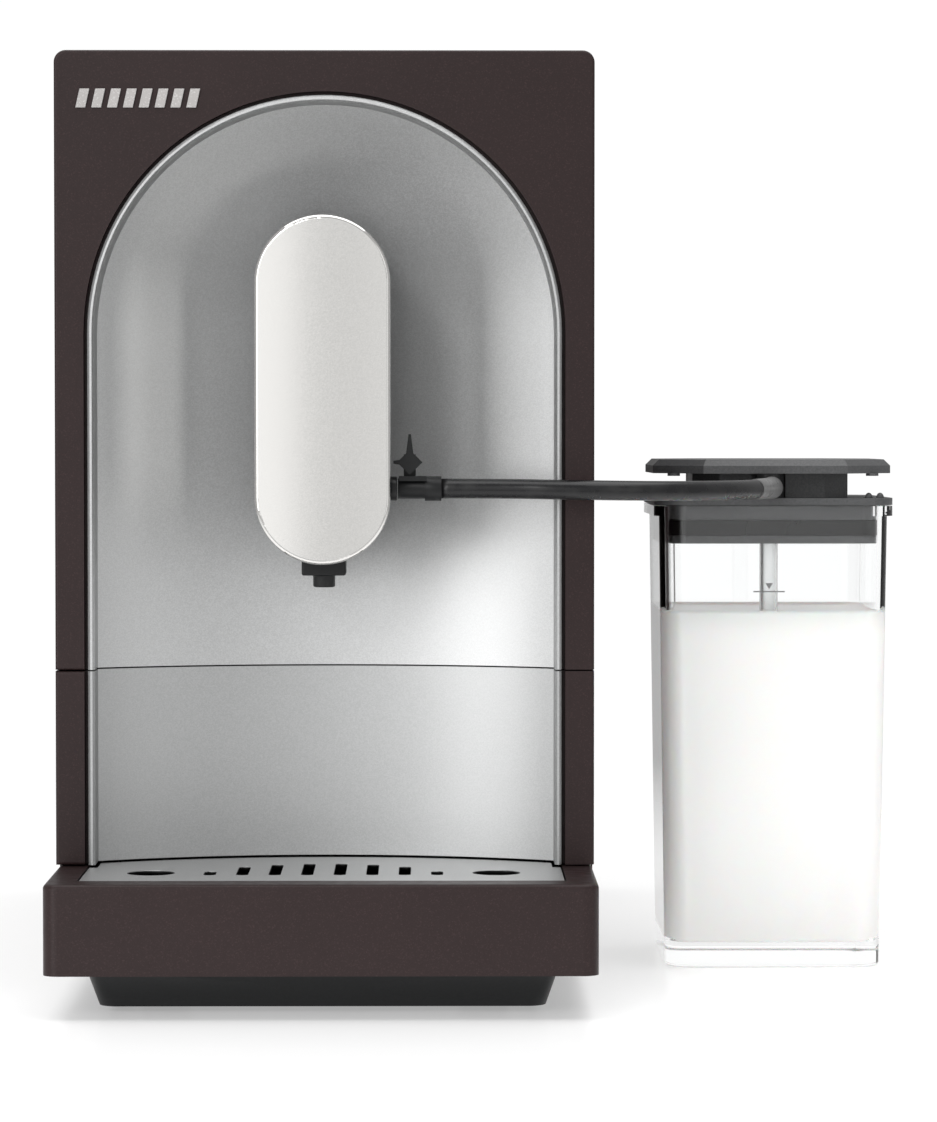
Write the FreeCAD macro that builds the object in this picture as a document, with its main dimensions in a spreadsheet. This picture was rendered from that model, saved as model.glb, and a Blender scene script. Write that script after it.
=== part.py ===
"""Compact pod coffee machine with a milk container: parametric model in millimetres.

Origin: middle of the underside, on the worktop. X to the right, Y to the back, Z up.
"""
import FreeCAD, Part
import math
import os
import re

import Sketcher

V = FreeCAD.Vector

# Driving sizes, each set by itself.
SIZES = {
    # housing
    "body_width": 180, "body_depth": 330, "body_height": 315.6, "corner_radius": 4,
    "panel_wall": 2.5, "panel_gap": 0.3, "frame_thickness": 14, "lid_band": 17.7,
    # base
    "base_top": 13.6, "base_lift": 1.5, "base_half_top": 77, "base_half_bottom": 73,
    "base_wall": 3, "base_floor": 2.4, "base_setback": 16, "foot_radius": 8, "foot_inset": 20,
    # niche
    "arch_radius": 79.1, "crown_band": 14.9, "niche_wall": 2.3, "groove_width": 1.2,
    "groove_depth": 4, "niche_side_depth": 13, "niche_depth": 33, "rim_proud": 0.4,
    "rim_bevel": 0.8, "panel_fit": 0.15, "split_height": 109, "split_gap": 0.5,
    # drawer and drip tray
    "drawer_reach": 56, "drawer_top": 43.4, "drawer_inset": 0.5, "drawer_corner": 5,
    "rim_play": 0.2, "rim_front": 12, "tray_wall": 2, "tray_length": 149, "run_gap": 0.5,
    "rim_round": 1.6, "grille_gap": 0.8,
    "grille_thickness": 1.6, "slot_width": 3.9, "slot_pitch": 10.7, "slot_front": 31,
    "slot_fan": 41, "hole_radius": 7.85, "hole_spread": 57, "hole_front": 38,
    # used-pod bin
    "bin_half": 74, "bin_length": 92, "bin_wall": 2, "bin_floor": 46,
    # spout
    "pill_half": 22.2, "pill_height": 114.3, "pill_bottom": 145.2, "pill_reach": 30,
    "pill_thickness": 10.8, "pill_wall": 2, "trim_thickness": 1.2, "carriage_inset": 1,
    "carriage_wall": 3, "spout_drop": 15, "spout_rise": 30, "neck_half": 7.5, "neck_low": 165,
    "neck_height": 40, "nozzle_half": 7.3, "nozzle_tip": 3.65, "nozzle_drop": 4,
    # milk line
    "port_height": 169.9, "port_reach": 10, "port_radius": 3, "collar_radius": 4,
    "collar_end": 24.2, "dock_gap": 0.3, "connector_end": 38.9, "connector_radius": 4.1,
    "hose_radius": 3.3, "knob_x": 28.4, "knob_z": 178.6, "knob_stem": 1.6, "shaft_fit": 0.05,
    "knob_thickness": 4, "post_depth": 5.6,
    # milk container
    "jug_x": 156, "jug_y": -59, "jug_bottom_half": 37.9, "jug_top_half": 40.2, "jug_rim": 42,
    "jug_height": 162.7, "jug_rim_height": 3.5, "jug_wall": 3, "jug_floor": 9, "jug_corner": 9,
    "lid_plate": 2.5, "lid_gap": 8.6, "lid_top_thickness": 4.9, "lid_facet": 16.8,
    "waist_half": 27.6, "plug_depth": 13.5, "seal_low": 152.2, "seal_height": 5.6,
    "elbow_x": 154.7, "elbow_y": -87, "elbow_radius": 4.3, "tube_radius": 3.2, "tube_bottom": 12,
    "nose_radius": 3.6, "nose_length": 9.4, "nub_radius": 2.2, "nub_height": 0.9, "nub_spread": 35,
    # pump, meter, valve and heater
    "pump_x": -35, "pump_z": 62, "pump_front": 50, "pump_back": 100, "pump_half": 22,
    "barrel_radius": 14, "barrel_over": 16, "spigot_over": 26, "spigot_radius": 4,
    "meter_x": 45, "meter_y": 105, "meter_radius": 16, "meter_height": 16, "nipple_radius": 3.5,
    "valve_x": 42, "valve_y": 43, "valve_half": 14, "valve_height": 30, "coil_radius": 10,
    "heater_outer": 80, "heater_inner": 38, "heater_front": -50, "heater_back": 24,
    "heater_height": 56, "fin_pitch": 9, "fin_depth": 3, "heater_stub": 8,
    # chassis and brew group
    "shelf_height": 110, "shelf_thickness": 3, "leg_thickness": 3.2, "brew_half": 32,
    "brew_bottom": 205, "brew_height": 79, "brew_axis": 246, "bore_radius": 17,
    "pod_slot_half": 21, "pod_slot_depth": 20, "brew_front": -112, "brew_wall": 8,
    "brew_length": 76, "piston_length": 32, "piston_rod": 6, "chute_wall": 2.5,
    # lever and buttons
    "lever_half": 34, "lever_length": 134, "lever_thickness": 4.4, "pin_radius": 2,
    "knuckle_radius": 3.6, "well_side": 2.5, "well_depth": 8, "finger_gap": 12,
    "well_margin": 2.5, "lever_tail": 7,
    "button_radius": 6.9, "button_pitch": 23, "button_proud": 1.6, "button_x": 66,
    "first_button_y": -130, "button_clearance": 0.4, "button_height": 13,
    # water tank
    "tank_half": 77, "tank_front": 89, "tank_back": 159, "tank_wall": 2.2, "tank_corner": 8,
    "tank_stand": 7, "tank_lid_thickness": 3.4, "valve_radius": 8, "dock_radius": 16,
    # back
    "inlet_x": 50, "inlet_z": 42, "switch_z": 75, "screw_radius": 1.6, "screw_head": 3.2,
    "screw_inset": 12, "vent_x": -60, "vent_pitch": 7, "vent_half": 1.5, "vent_low": 35, "vent_high": 85,
}

# Places worked out from the sizes.
PLACES = {
    "front": "-body_depth / 2",
    "back": "body_depth / 2",
    "side": "body_width / 2",
    "drawer_half": "side - drawer_inset",
    "drawer_inner": "arch_radius + rim_play",
    "frame_back": "front + frame_thickness",
    "panel_front": "frame_back + panel_gap",
    "seam": "body_height - lid_band",
    "floor_top": "base_top + base_floor",
    "base_front": "front - drawer_reach + base_setback",
    "arch_z": "body_height - crown_band - arch_radius",
    "niche_half": "arch_radius - niche_wall",
    "rim_y": "front - rim_proud",
    "niche_side": "front + niche_side_depth",
    "niche_back": "front + niche_depth",
    "niche_sag": "niche_depth - niche_side_depth",
    "niche_curve": "(niche_half * niche_half + niche_sag * niche_sag) / (2 * niche_sag)",
    "skin_curve": "niche_curve + niche_wall",
    "skin_back": "niche_back + niche_wall",
    "skin_side": "skin_back - skin_curve + sqrt(skin_curve * skin_curve - arch_radius * arch_radius)",
    "split_low": "split_height - split_gap / 2",
    "split_top": "split_height + split_gap / 2",
    "drawer_front": "front - drawer_reach",
    "tray_half": "drawer_inner - run_gap",
    "tray_front": "drawer_front + rim_front + panel_gap",
    "tray_top": "drawer_top - grille_thickness - panel_gap",
    "bin_low": "drawer_top + run_gap",
    "bin_wall_front": "skin_back + 11.7",
    "bin_start": "bin_wall_front + 4",
    "pill_front": "front - pill_reach",
    "pill_back": "pill_front + pill_thickness",
    "trim_back": "pill_back + trim_thickness",
    "carriage_half": "pill_half - carriage_inset",
    "carriage_low": "pill_bottom + carriage_inset",
    "carriage_top": "pill_bottom + pill_height - carriage_inset",
    "carriage_back": "niche_side",
    "port_y": "front - port_reach",
    "knob_front": "port_y - 3",
    "knob_back": "knob_front + knob_thickness",
    "lid_low": "jug_height + panel_gap",
    "waist_low": "lid_low + lid_plate",
    "lid_high": "waist_low + lid_gap",
    "lid_top": "lid_high + lid_top_thickness",
    "plug_half": "jug_top_half - jug_wall - 0.6",
    "shelf_top": "shelf_height + shelf_thickness",
    "tank_bottom": "shelf_top + tank_stand",
    "board_low": "shelf_top + 17",
    "leg_outer": "side - panel_wall - panel_gap",
    "leg_inner": "leg_outer - leg_thickness",
    "rail_y": "skin_back + 0.5",
    "guide_y": "front + 48",
    "chassis_front": "front + 46",
    "slot_start": "brew_front + brew_wall",
    "slot_end": "slot_start + pod_slot_depth",
    "brew_top": "brew_bottom + brew_height",
    "brew_back": "brew_front + brew_length",
    "well_half": "lever_half + well_margin",
    "well_front": "-lever_length - finger_gap",
    "pin_z": "body_height - 4",
    "well_floor": "body_height - well_depth",
    "well_under": "well_floor - panel_wall",
    "lever_top": "body_height - 0.2",
    "lever_under": "lever_top - lever_thickness",
    "tank_top": "body_height - 5",
    "lid_under": "body_height - 0.2 - tank_lid_thickness",
    "hinge_y": "tank_back - 2.5",
    "hinge_z": "body_height - 0.2 - tank_lid_thickness / 2",
    "bezel_top": "body_height + 0.8",
}

doc = FreeCAD.newDocument("pod_coffee_machine")
sheet = doc.addObject("Spreadsheet::Sheet", "sizes")
for row, (size_name, size) in enumerate(SIZES.items(), 1):
    sheet.set(f"A{row}", size_name)
    sheet.set(f"B{row}", str(size))
    sheet.setAlias(f"B{row}", size_name)
doc.recompute()
reader = doc.addObject("App::FeaturePython", "reader")
parts = []


def formula(text):
    """The expression with each size and place name written out for the sheet."""
    def written_out(word):
        name = word.group(0)
        if name in SIZES:
            return "sizes." + name
        return "(" + formula(PLACES[name]) + ")" if name in PLACES else name
    return re.sub(r"[a-z][a-z_]*", written_out, str(text))


def number(text):
    """What an expression is worth now."""
    return float(reader.evalExpression(formula(text)))


def part(label, item):
    """Names a finished sub-part."""
    item.Label = label
    parts.append(item)
    return item


def box(name, x, y, z):
    """A box between two expressions on each axis."""
    item = doc.addObject("Part::Box", name)
    for axis, side, (low, high) in zip("xyz", ("Length", "Width", "Height"), (x, y, z)):
        item.setExpression("Placement.Base." + axis, formula(low))
        item.setExpression(side, formula(f"({high}) - ({low})"))
    return item


def rod(name, axis, start, radius, length):
    """A round bar from start along +X, +Y or +Z."""
    item = doc.addObject("Part::Cylinder", name)
    towards = {"x": V(1, 0, 0), "y": V(0, 1, 0), "z": V(0, 0, 1)}[axis]
    item.Placement = FreeCAD.Placement(V(), FreeCAD.Rotation(V(0, 0, 1), towards))
    for letter, place in zip("xyz", start):
        item.setExpression("Placement.Base." + letter, formula(place))
    item.setExpression("Radius", formula(radius))
    item.setExpression("Height", formula(length))
    return item


def join(name, *items):
    item = doc.addObject("Part::MultiFuse", name)
    item.Shapes = list(items)
    item.Refine = True
    return item


def cut(name, base, *tools):
    item = doc.addObject("Part::Cut", name)
    item.Base = base
    item.Tool = tools[0] if len(tools) == 1 else join(name + "_cutters", *tools)
    return item


def group(name, *items):
    item = doc.addObject("Part::Compound", name)
    item.Links = list(items)
    return item


def tube(name, axis, start, outer, inner, length):
    """A round bar with a bore right through."""
    lead = [f"({p}) - 1" if a == axis else p for a, p in zip("xyz", start)]
    return cut(name, rod(name + "_outside", axis, start, outer, length),
               rod(name + "_bore", axis, lead, inner, f"({length}) + 2"))


def tub(name, x, y, z, wall, floor):
    """An open box with walls and a floor."""
    inside = box(name + "_inside", *[(f"({low}) + {wall}", f"({high}) - {wall}") for low, high in (x, y)],
                 (f"({z[0]}) + {floor}", f"({z[1]}) + 1"))
    return cut(name, box(name + "_outside", x, y, z), inside)


# Outlines: each step is where an edge starts, (a, b) for a straight edge
# or (a, b, radius, turn) for an arc, with turn 1 to the left and -1 to the right.
def rectangle(a, b):
    (left, right), (low, high) = a, b
    return [(left, low), (right, low), (right, high), (left, high)]


def rounded(a, b, radius):
    (left, right), (low, high) = a, b
    r = radius
    return [(f"({left}) + {r}", low), (f"({right}) - {r}", low, r, 1),
            (right, f"({low}) + {r}"), (right, f"({high}) - {r}", r, 1),
            (f"({right}) - {r}", high), (f"({left}) + {r}", high, r, 1),
            (left, f"({high}) - {r}"), (left, f"({low}) + {r}", r, 1)]


def arch(half, low):
    return [(f"-({half})", low), (half, low), (half, "arch_z", half, 1),
            ("0", f"arch_z + {half}", half, 1), (f"-({half})", "arch_z")]


def stadium(centre, half, low, high):
    left, right = f"({centre}) - ({half})", f"({centre}) + ({half})"
    bottom, top = f"({low}) + ({half})", f"({high}) - ({half})"
    return [(left, bottom, half, 1), (centre, low, half, 1), (right, bottom),
            (right, top, half, 1), (centre, high, half, 1), (left, top)]


def disc(a, b, radius):
    """A circle, as an outline of its own."""
    return (a, b, radius)


class Body:
    """One PartDesign body, built feature by feature from sketches on its origin planes."""

    def __init__(self, label):
        self.body = part(label, doc.addObject("PartDesign::Body", label))

    def sketch(self, plane, level, outlines):
        item = self.body.newObject("Sketcher::SketchObject", "outline")
        role = plane + "_Plane"
        origin_plane = next(f for f in self.body.Origin.OriginFeatures if f.Role == role)
        item.AttachmentSupport = (origin_plane, [""])
        item.MapMode = "FlatFace"
        sign = "-" if plane == "XZ" else ""
        item.setExpression("AttachmentOffset.Base.z", formula(f"{sign}({level})"))
        for steps in outlines:
            if isinstance(steps, tuple):
                self.circle(item, *steps)
            else:
                self.closed(item, steps)
        return item

    def measure(self, item, kind, text, *where):
        """One dimension bound to its expression."""
        index = item.addConstraint(Sketcher.Constraint(kind, *where, number(text)))
        item.renameConstraint(index, f"size{index}")
        item.setExpression(f"Constraints.size{index}", formula(text))

    def circle(self, item, a, b, radius):
        centre = V(number(a), number(b), 0)
        index = item.addGeometry(Part.Circle(centre, V(0, 0, 1), number(radius)))
        self.measure(item, "DistanceX", a, -1, 1, index, 3)
        self.measure(item, "DistanceY", b, -1, 1, index, 3)
        self.measure(item, "Radius", radius, index)

    def closed(self, item, steps):
        points = [V(number(step[0]), number(step[1]), 0) for step in steps]
        ends = []
        for here, there, step in zip(points, points[1:] + points[:1], steps):
            if len(step) == 2:
                ends.append((item.addGeometry(Part.LineSegment(here, there)), 1, 2))
                continue
            radius, turn = number(step[2]), step[3]
            chord = there - here
            height = math.sqrt(max(radius ** 2 - chord.Length ** 2 / 4, 0))
            left = V(-chord.y, chord.x, 0).normalize()
            centre = (here + there) / 2 + left * height * turn
            first, last = (here, there) if turn > 0 else (there, here)
            angles = [math.atan2(p.y - centre.y, p.x - centre.x) for p in (first, last)]
            circle = Part.Circle(centre, V(0, 0, 1), radius)
            index = item.addGeometry(Part.ArcOfCircle(circle, *angles))
            ends.append((index, 1, 2) if turn > 0 else (index, 2, 1))
        for (index, start, end), after in zip(ends, ends[1:] + ends[:1]):
            item.addConstraint(Sketcher.Constraint("Coincident", index, end, after[0], after[1]))
        for (index, start, end), step in zip(ends, steps):
            self.measure(item, "DistanceX", step[0], -1, 1, index, start)
            self.measure(item, "DistanceY", step[1], -1, 1, index, start)
            if len(step) == 4:
                self.measure(item, "Radius", step[2], index)

    def feature(self, kind, plane, level, to, outlines):
        """A pad or pocket from one level to another."""
        item = self.body.newObject("PartDesign::" + kind, kind.lower())
        item.Profile = self.sketch(plane, level, outlines)
        forward = number(to) > number(level)
        along_normal = forward != (plane == "XZ")
        item.Reversed = not along_normal if kind == "Pad" else along_normal
        item.setExpression("Length", formula(f"abs(({to}) - ({level}))"))
        return item

    def pad(self, plane, level, to, *outlines):
        item = self.feature("Pad", plane, level, to, outlines)
        doc.recompute()
        return item

    def pocket(self, plane, level, to, *outlines):
        """A cut, refused where it takes nothing away."""
        doc.recompute()
        before = self.body.Shape.Volume
        item = self.feature("Pocket", plane, level, to, outlines)
        doc.recompute()
        if not self.body.Shape.Volume < before - 0.01:
            raise ValueError(f"{self.body.Label}: a pocket cuts nothing")
        return item

    def loft(self, levels, outlines, hollow=False):
        """A solid, or a hollow, through one outline at each level."""
        kind = "PartDesign::SubtractiveLoft" if hollow else "PartDesign::AdditiveLoft"
        sketches = [self.sketch("XY", level, [steps]) for level, steps in zip(levels, outlines)]
        item = self.body.newObject(kind, "loft")
        item.Profile = sketches[0]
        item.Sections = sketches[1:]
        item.Ruled = True
        doc.recompute()
        return item

    def turned(self, plane, level, steps, axis, angle):
        item = self.body.newObject("PartDesign::Revolution", "turned")
        section = self.sketch(plane, level, [steps])
        item.Profile = section
        item.ReferenceAxis = (section, [axis])
        item.Angle = angle
        doc.recompute()
        return item

    def soften(self, kind, size, chosen):
        """Fillets or chamfers the edges that chosen picks."""
        doc.recompute()
        base = self.body.Tip
        names = [f"Edge{i}" for i, edge in enumerate(base.Shape.Edges, 1) if chosen(edge)]
        item = self.body.newObject("PartDesign::" + kind, kind.lower())
        item.Base = (base, names)
        item.setExpression("Radius" if kind == "Fillet" else "Size", formula(size))
        doc.recompute()
        return item


def lies_at(axis, text):
    """Picks edges that lie wholly in one plane across an axis."""
    place = number(text)
    low, high = axis.upper() + "Min", axis.upper() + "Max"
    return lambda edge: (abs(getattr(edge.BoundBox, low) - place) < 1e-4
                         and abs(getattr(edge.BoundBox, high) - place) < 1e-4)


def upright(edge):
    """Picks edges that run along Z."""
    box_of = edge.BoundBox
    return box_of.XLength < 1e-4 and box_of.YLength < 1e-4


# ---------------------------------------------------------------- housing
def niche_plan():
    """Plan section of the niche's curved skin, between its two rims."""
    w, o = "niche_half", "arch_radius"
    return [(f"-{o}", "rim_y"), (f"-{w}", "rim_y"), (f"-{w}", "niche_side", "niche_curve", -1),
            ("0", "niche_back", "niche_curve", -1), (w, "niche_side"), (w, "rim_y"), (o, "rim_y"),
            (o, "skin_side", "skin_curve", 1), ("0", "skin_back", "skin_curve", 1),
            (f"-{o}", "skin_side")]


def niche_half_plan():
    """The right half of that section, closed on the middle line."""
    return [("0", "niche_back", "niche_curve", -1), ("niche_half", "niche_side"),
            ("niche_half", "rim_y"), ("arch_radius", "rim_y"),
            ("arch_radius", "skin_side", "skin_curve", 1), ("0", "skin_back")]


def base_housing():
    body = Body("base_housing")
    low, top = "base_lift", "base_top"
    back = "back - panel_wall - panel_gap"
    slope = "(base_half_top - base_half_bottom)"
    at_low = rounded(("-base_half_bottom", "base_half_bottom"),
                     (f"base_front + {slope}", f"{back} - {slope}"), "6")
    at_top = rounded(("-base_half_top", "base_half_top"), ("base_front", back), "6")
    body.loft([low, top], [at_low, at_top])
    body.pad("XY", top, "floor_top", rectangle(("-leg_outer", "leg_outer"), ("panel_front", back)))
    hollow = rounded(("-base_half_bottom + base_wall", "base_half_bottom - base_wall"),
                     (f"base_front + {slope} + base_wall", f"{back} - {slope} - base_wall"), "4")
    body.pocket("XY", low, "base_top - 4", hollow)


def rubber_feet():
    feet = [rod("foot", "z", (x, y, "0"), "foot_radius", "base_top - 4")
            for x in ("-base_half_bottom + foot_inset", "base_half_bottom - foot_inset")
            for y in ("base_front + 2 * foot_inset", "back - 2 * foot_inset")]
    middle = rod("middle_foot", "z", ("0", "0", "0"), "foot_radius", "base_top - 4")
    part("rubber_feet", group("feet", middle, *feet))


def housing_front(low):
    """The housing seen from the front, from one height up to its rounded top."""
    r = "corner_radius"
    shoulder = f"body_height - {r}"
    return [("-side", low), ("side", low), ("side", shoulder, r, 1), (f"side - {r}", "body_height"),
            (f"-side + {r}", "body_height", r, 1), ("-side", shoulder)]


def front_frame():
    body = Body("front_frame")
    body.pad("XZ", "frame_back", "front", housing_front("split_top"))
    body.pocket("XZ", "frame_back + 1", "front - 1", arch("arch_radius + panel_fit", "split_top - 1"))
    body.pocket("XZ", "front - 1", "front + groove_depth",
                arch("arch_radius + groove_width", "split_top - 1"))
    outer = lies_at("y", "front")
    body.soften("Fillet", "1", lambda e: outer(e) and (e.BoundBox.ZMax > number("body_height") - 5
                or abs(e.BoundBox.XMin) > number("side") - 0.1))


def nameplate():
    part("nameplate", box("plate", ("-side + 7.3", "-side + 50.8"), ("front - 0.8", "front"),
                          ("arch_z + 74.8", "arch_z + 81.1")))


def niche_panel():
    body = Body("niche_panel")
    body.pad("XY", "split_top", "arch_z", niche_plan())
    body.turned("XY", "arch_z", niche_half_plan(), "V_Axis", 180)
    if body.body.Shape.BoundBox.ZMax < number("arch_z + 1"):
        body.body.Tip.Reversed = True
        doc.recompute()
    body.pocket("XZ", "niche_side", "skin_back + 1",
                rectangle(("-neck_half - 0.7", "neck_half + 0.7"),
                          ("neck_low - spout_drop - 1", "neck_low + neck_height + spout_rise + 1")))
    body.soften("Chamfer", "rim_bevel", lambda e: lies_at("y", "rim_y")(e) and e.BoundBox.ZLength > 5)


def side_panels():
    z = ("base_top", "seam - panel_gap")
    y = ("panel_front", "back")
    part("left_side_panel", box("left_panel", ("-side", "-side + panel_wall"), y, z))
    part("right_side_panel", box("right_panel", ("side - panel_wall", "side"), y, z))


def top_cover():
    body = Body("top_cover")
    wall = "panel_wall"
    body.pad("XZ", "panel_front", "back", housing_front("seam"))
    inside = rectangle((f"-side + {wall}", f"side - {wall}"), ("panel_front - 1", f"back - {wall}"))
    well_block = rectangle(("-well_half - well_side", "well_half + well_side"),
                           ("well_front - well_side", "lever_tail + well_side"))
    body.pocket("XY", "seam", "body_height - panel_wall", inside, well_block)
    body.pocket("XY", "seam", "well_under", well_block)
    body.pocket("XY", "body_height", "well_floor",
                rounded(("-well_half", "well_half"), ("well_front", "lever_tail"), "3"))
    body.pocket("XY", "body_height", "well_under - 1",
                rectangle(("-pod_slot_half", "pod_slot_half"), ("slot_start", "slot_end")))
    tank_hole = rounded(("-tank_half - 1.5", "tank_half + 1.5"), ("tank_front - 1.5", "tank_back + 1.5"),
                        "(tank_corner - 3)")
    body.pocket("XY", "body_height + 1", "seam", tank_hole)
    holes = [disc("button_x", y, "button_radius + button_clearance") for y in button_places()]
    body.pocket("XY", "body_height + 1", "body_height - panel_wall - 1", *holes)
    body.pocket("YZ", "-well_half - well_side - 1", "well_half + well_side + 1",
                disc("0", "pin_z", "pin_radius"))


def button_places():
    return [f"first_button_y + {i} * button_pitch" for i in range(4)]


def rear_cover():
    body = Body("rear_cover")
    inner = "back - panel_wall"
    half = "side - panel_wall - panel_gap"
    body.pad("XZ", inner, "back", rectangle((f"-({half})", half), ("base_top", "seam - panel_gap")))
    body.pocket("XZ", f"{inner} - 1", "back + 1",
                rectangle(("inlet_x - 13.6", "inlet_x + 13.6"), ("inlet_z - 10.1", "inlet_z + 10.1")),
                rectangle(("inlet_x - 6.5", "inlet_x + 6.5"), ("switch_z - 10.2", "switch_z + 10.2")))
    vents = [stadium(f"vent_x + {i} * vent_pitch", "vent_half", "vent_low", "vent_high") for i in range(10)]
    body.pocket("XZ", f"{inner} - 1", "back + 1", *vents)
    corners = [disc(x, z, "screw_radius + 0.15") for x, z in screw_places()]
    body.pocket("XZ", f"{inner} - 1", "back + 1", *corners)


def screw_places():
    return [(x, z) for x in ("-side + screw_inset", "side - screw_inset")
            for z in ("base_top + screw_inset", "seam - screw_inset")]


def housing_screws():
    screws = []
    for x, z in screw_places():
        head = rod("screw_head", "y", (x, "back", z), "screw_head", "1.4")
        recess = rod("driver_recess", "y", (x, "back + 0.5", z), "1.3", "1")
        shank = rod("screw_shank", "y", (x, "back - 5.5", z), "screw_radius", "5.5")
        screws.append(cut("screw", join("screw_blank", head, shank), recess))
    part("housing_screws", group("screws", *screws))


# ---------------------------------------------------------------- inside
def chassis():
    body = Body("chassis")
    back = "back - panel_wall - 2.5"
    body.pad("XZ", "chassis_front", back,
             [("-leg_outer", "floor_top"), ("-leg_inner", "floor_top"), ("-leg_inner", "shelf_height"),
              ("leg_inner", "shelf_height"), ("leg_inner", "floor_top"), ("leg_outer", "floor_top"),
              ("leg_outer", "shelf_top"), ("-leg_outer", "shelf_top")])
    body.pocket("XY", "shelf_top + 1", "shelf_height - 1",
                rectangle(("-pod_slot_half - 3", "pod_slot_half + 3"), ("slot_start - 3", "slot_end + 3")),
                disc("0", "(tank_front + tank_back) / 2", "6"), disc("-66", "52.5", "5"),
                disc("76", "70", "4.5"))


def drawer_rails():
    rails = []
    for low, high in (("-leg_inner", "-tray_half - 1.2"), ("tray_half + 1.2", "leg_inner")):
        rails.append(box("tray_rail", (low, high), ("panel_front + 2", "tray_front + tray_length"),
                         ("floor_top", "floor_top + 8")))
    for low, high in (("-leg_inner", "-bin_half + 4"), ("bin_half - 4", "leg_inner")):
        rails.append(box("bin_ledge", (low, high), ("bin_start + 4", "bin_start + bin_length"),
                         ("bin_floor - 3.6", "bin_floor - 0.4")))
    part("drawer_rails", group("rails", *rails))


def pump():
    core = box("pump_core", ("pump_x - pump_half", "pump_x + pump_half"), ("pump_front", "pump_back"),
               ("pump_z - pump_half", "pump_z + pump_half"))
    barrel = rod("pump_barrel", "y", ("pump_x", "pump_front - barrel_over", "pump_z"), "barrel_radius",
                 "pump_back - pump_front + 2 * barrel_over")
    spigots = rod("pump_spigots", "y", ("pump_x", "pump_front - spigot_over", "pump_z"), "spigot_radius",
                  "pump_back - pump_front + 2 * spigot_over")
    tag = box("pump_terminals", ("pump_x - 10", "pump_x + 10"), ("pump_front + 10", "pump_front + 26"),
              ("pump_z + pump_half", "pump_z + pump_half + 10"))
    part("pump", join("pump_whole", core, barrel, spigots, tag))


def pump_mounts():
    cradles = []
    for y in ("pump_front - barrel_over + 2", "pump_back + barrel_over - 10"):
        block = box("cradle", ("pump_x - 20", "pump_x + 20"), (y, f"{y} + 8"), ("floor_top", "pump_z + 6"))
        bore = rod("cradle_bore", "y", ("pump_x", f"{y} - 1", "pump_z"), "barrel_radius + shaft_fit", "10")
        cradles.append(cut("cradle_cut", block, bore))
    part("pump_mounts", group("cradles", *cradles))


def flow_meter():
    x, y, top = "meter_x", "meter_y", "floor_top + meter_height"
    case = rod("meter_case", "z", (x, y, "floor_top"), "meter_radius", "meter_height")
    cap = rod("meter_cap", "z", (x, y, top), "meter_radius - 4", "4")
    outlet = rod("meter_outlet", "x", (f"{x} - meter_radius - 9", y, "floor_top + 9"), "nipple_radius", "12")
    inlet = rod("meter_inlet", "z", (x, y, f"{top} + 2"), "nipple_radius", "10")
    part("flow_meter", join("meter_whole", case, cap, outlet, inlet))


def steam_valve():
    x, y, half, top = "valve_x", "valve_y", "valve_half", "floor_top + valve_height"
    block = box("valve_block", (f"{x} - {half}", f"{x} + {half}"), (f"{y} - {half}", f"{y} + {half}"),
                ("floor_top", top))
    coil = rod("valve_coil", "z", (x, y, top), "coil_radius", "24")
    nose = rod("valve_spigots", "x", (f"{x} - {half} - 8", y, "floor_top + 18"), "nipple_radius",
               f"2 * {half} + 16")
    part("steam_valve", join("valve_whole", block, coil, nose))


def thermoblock():
    block = box("heater_block", ("-heater_outer", "-heater_inner"), ("heater_front", "heater_back"),
                ("shelf_top", "shelf_top + heater_height"))
    fins = []
    for i in range(8):
        y = f"heater_front + 4 + {i} * fin_pitch"
        fins.append(box("fin", ("-heater_inner", "-heater_inner + fin_depth"), (y, f"{y} + 4"),
                        ("shelf_top + 4", "shelf_top + heater_height - 4")))
    ends = [rod("heater_end", "y", (x, "heater_front - heater_stub", "shelf_top + heater_height / 2"), "4",
                "heater_back - heater_front + 2 * heater_stub")
            for x in ("-heater_outer + 10", "-heater_inner - 10")]
    part("thermoblock", join("heater_whole", block, *fins, *ends))


def brew_unit_body():
    body = Body("brew_unit_body")
    body.pad("XZ", "brew_back", "brew_front",
             [("-brew_half", "shelf_top"), ("-brew_half + 5", "shelf_top"), ("-brew_half + 5", "brew_bottom"),
              ("brew_half - 5", "brew_bottom"), ("brew_half - 5", "shelf_top"), ("brew_half", "shelf_top"),
              ("brew_half", "brew_top"), ("-brew_half", "brew_top")])
    body.pocket("XZ", "brew_back + 1", "slot_start", disc("0", "brew_axis", "bore_radius"))
    body.pocket("XY", "brew_top + 1", "brew_bottom - 1",
                rectangle(("-pod_slot_half", "pod_slot_half"), ("slot_start", "slot_end")))


def needle_plate():
    plate = rod("needle_disc", "y", ("0", "slot_start", "brew_axis"), "bore_radius - 2", "2")
    needles = []
    for i in range(3):
        angle = f"{90 + 120 * i}"
        item = doc.addObject("Part::Cone", "needle")
        item.Placement = FreeCAD.Placement(V(), FreeCAD.Rotation(V(0, 0, 1), V(0, 1, 0)))
        item.setExpression("Placement.Base.x", f"7 * cos({angle})")
        item.setExpression("Placement.Base.y", formula("slot_start + 1.9"))
        item.setExpression("Placement.Base.z", formula(f"brew_axis + 7 * sin({angle})"))
        item.Radius1, item.Radius2, item.Height = 1.4, 0.2, 4
        needles.append(item)
    part("needle_plate", join("needle_whole", plate, *needles))


def pod_chute():
    outside = box("chute_outside", ("-pod_slot_half - chute_wall", "pod_slot_half + chute_wall"),
                  ("slot_start - chute_wall", "slot_end + chute_wall"), ("brew_top", "well_under"))
    inside = box("chute_inside", ("-pod_slot_half", "pod_slot_half"), ("slot_start", "slot_end"),
                 ("brew_top - 1", "well_under + 1"))
    part("pod_chute", cut("chute", outside, inside))


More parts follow.
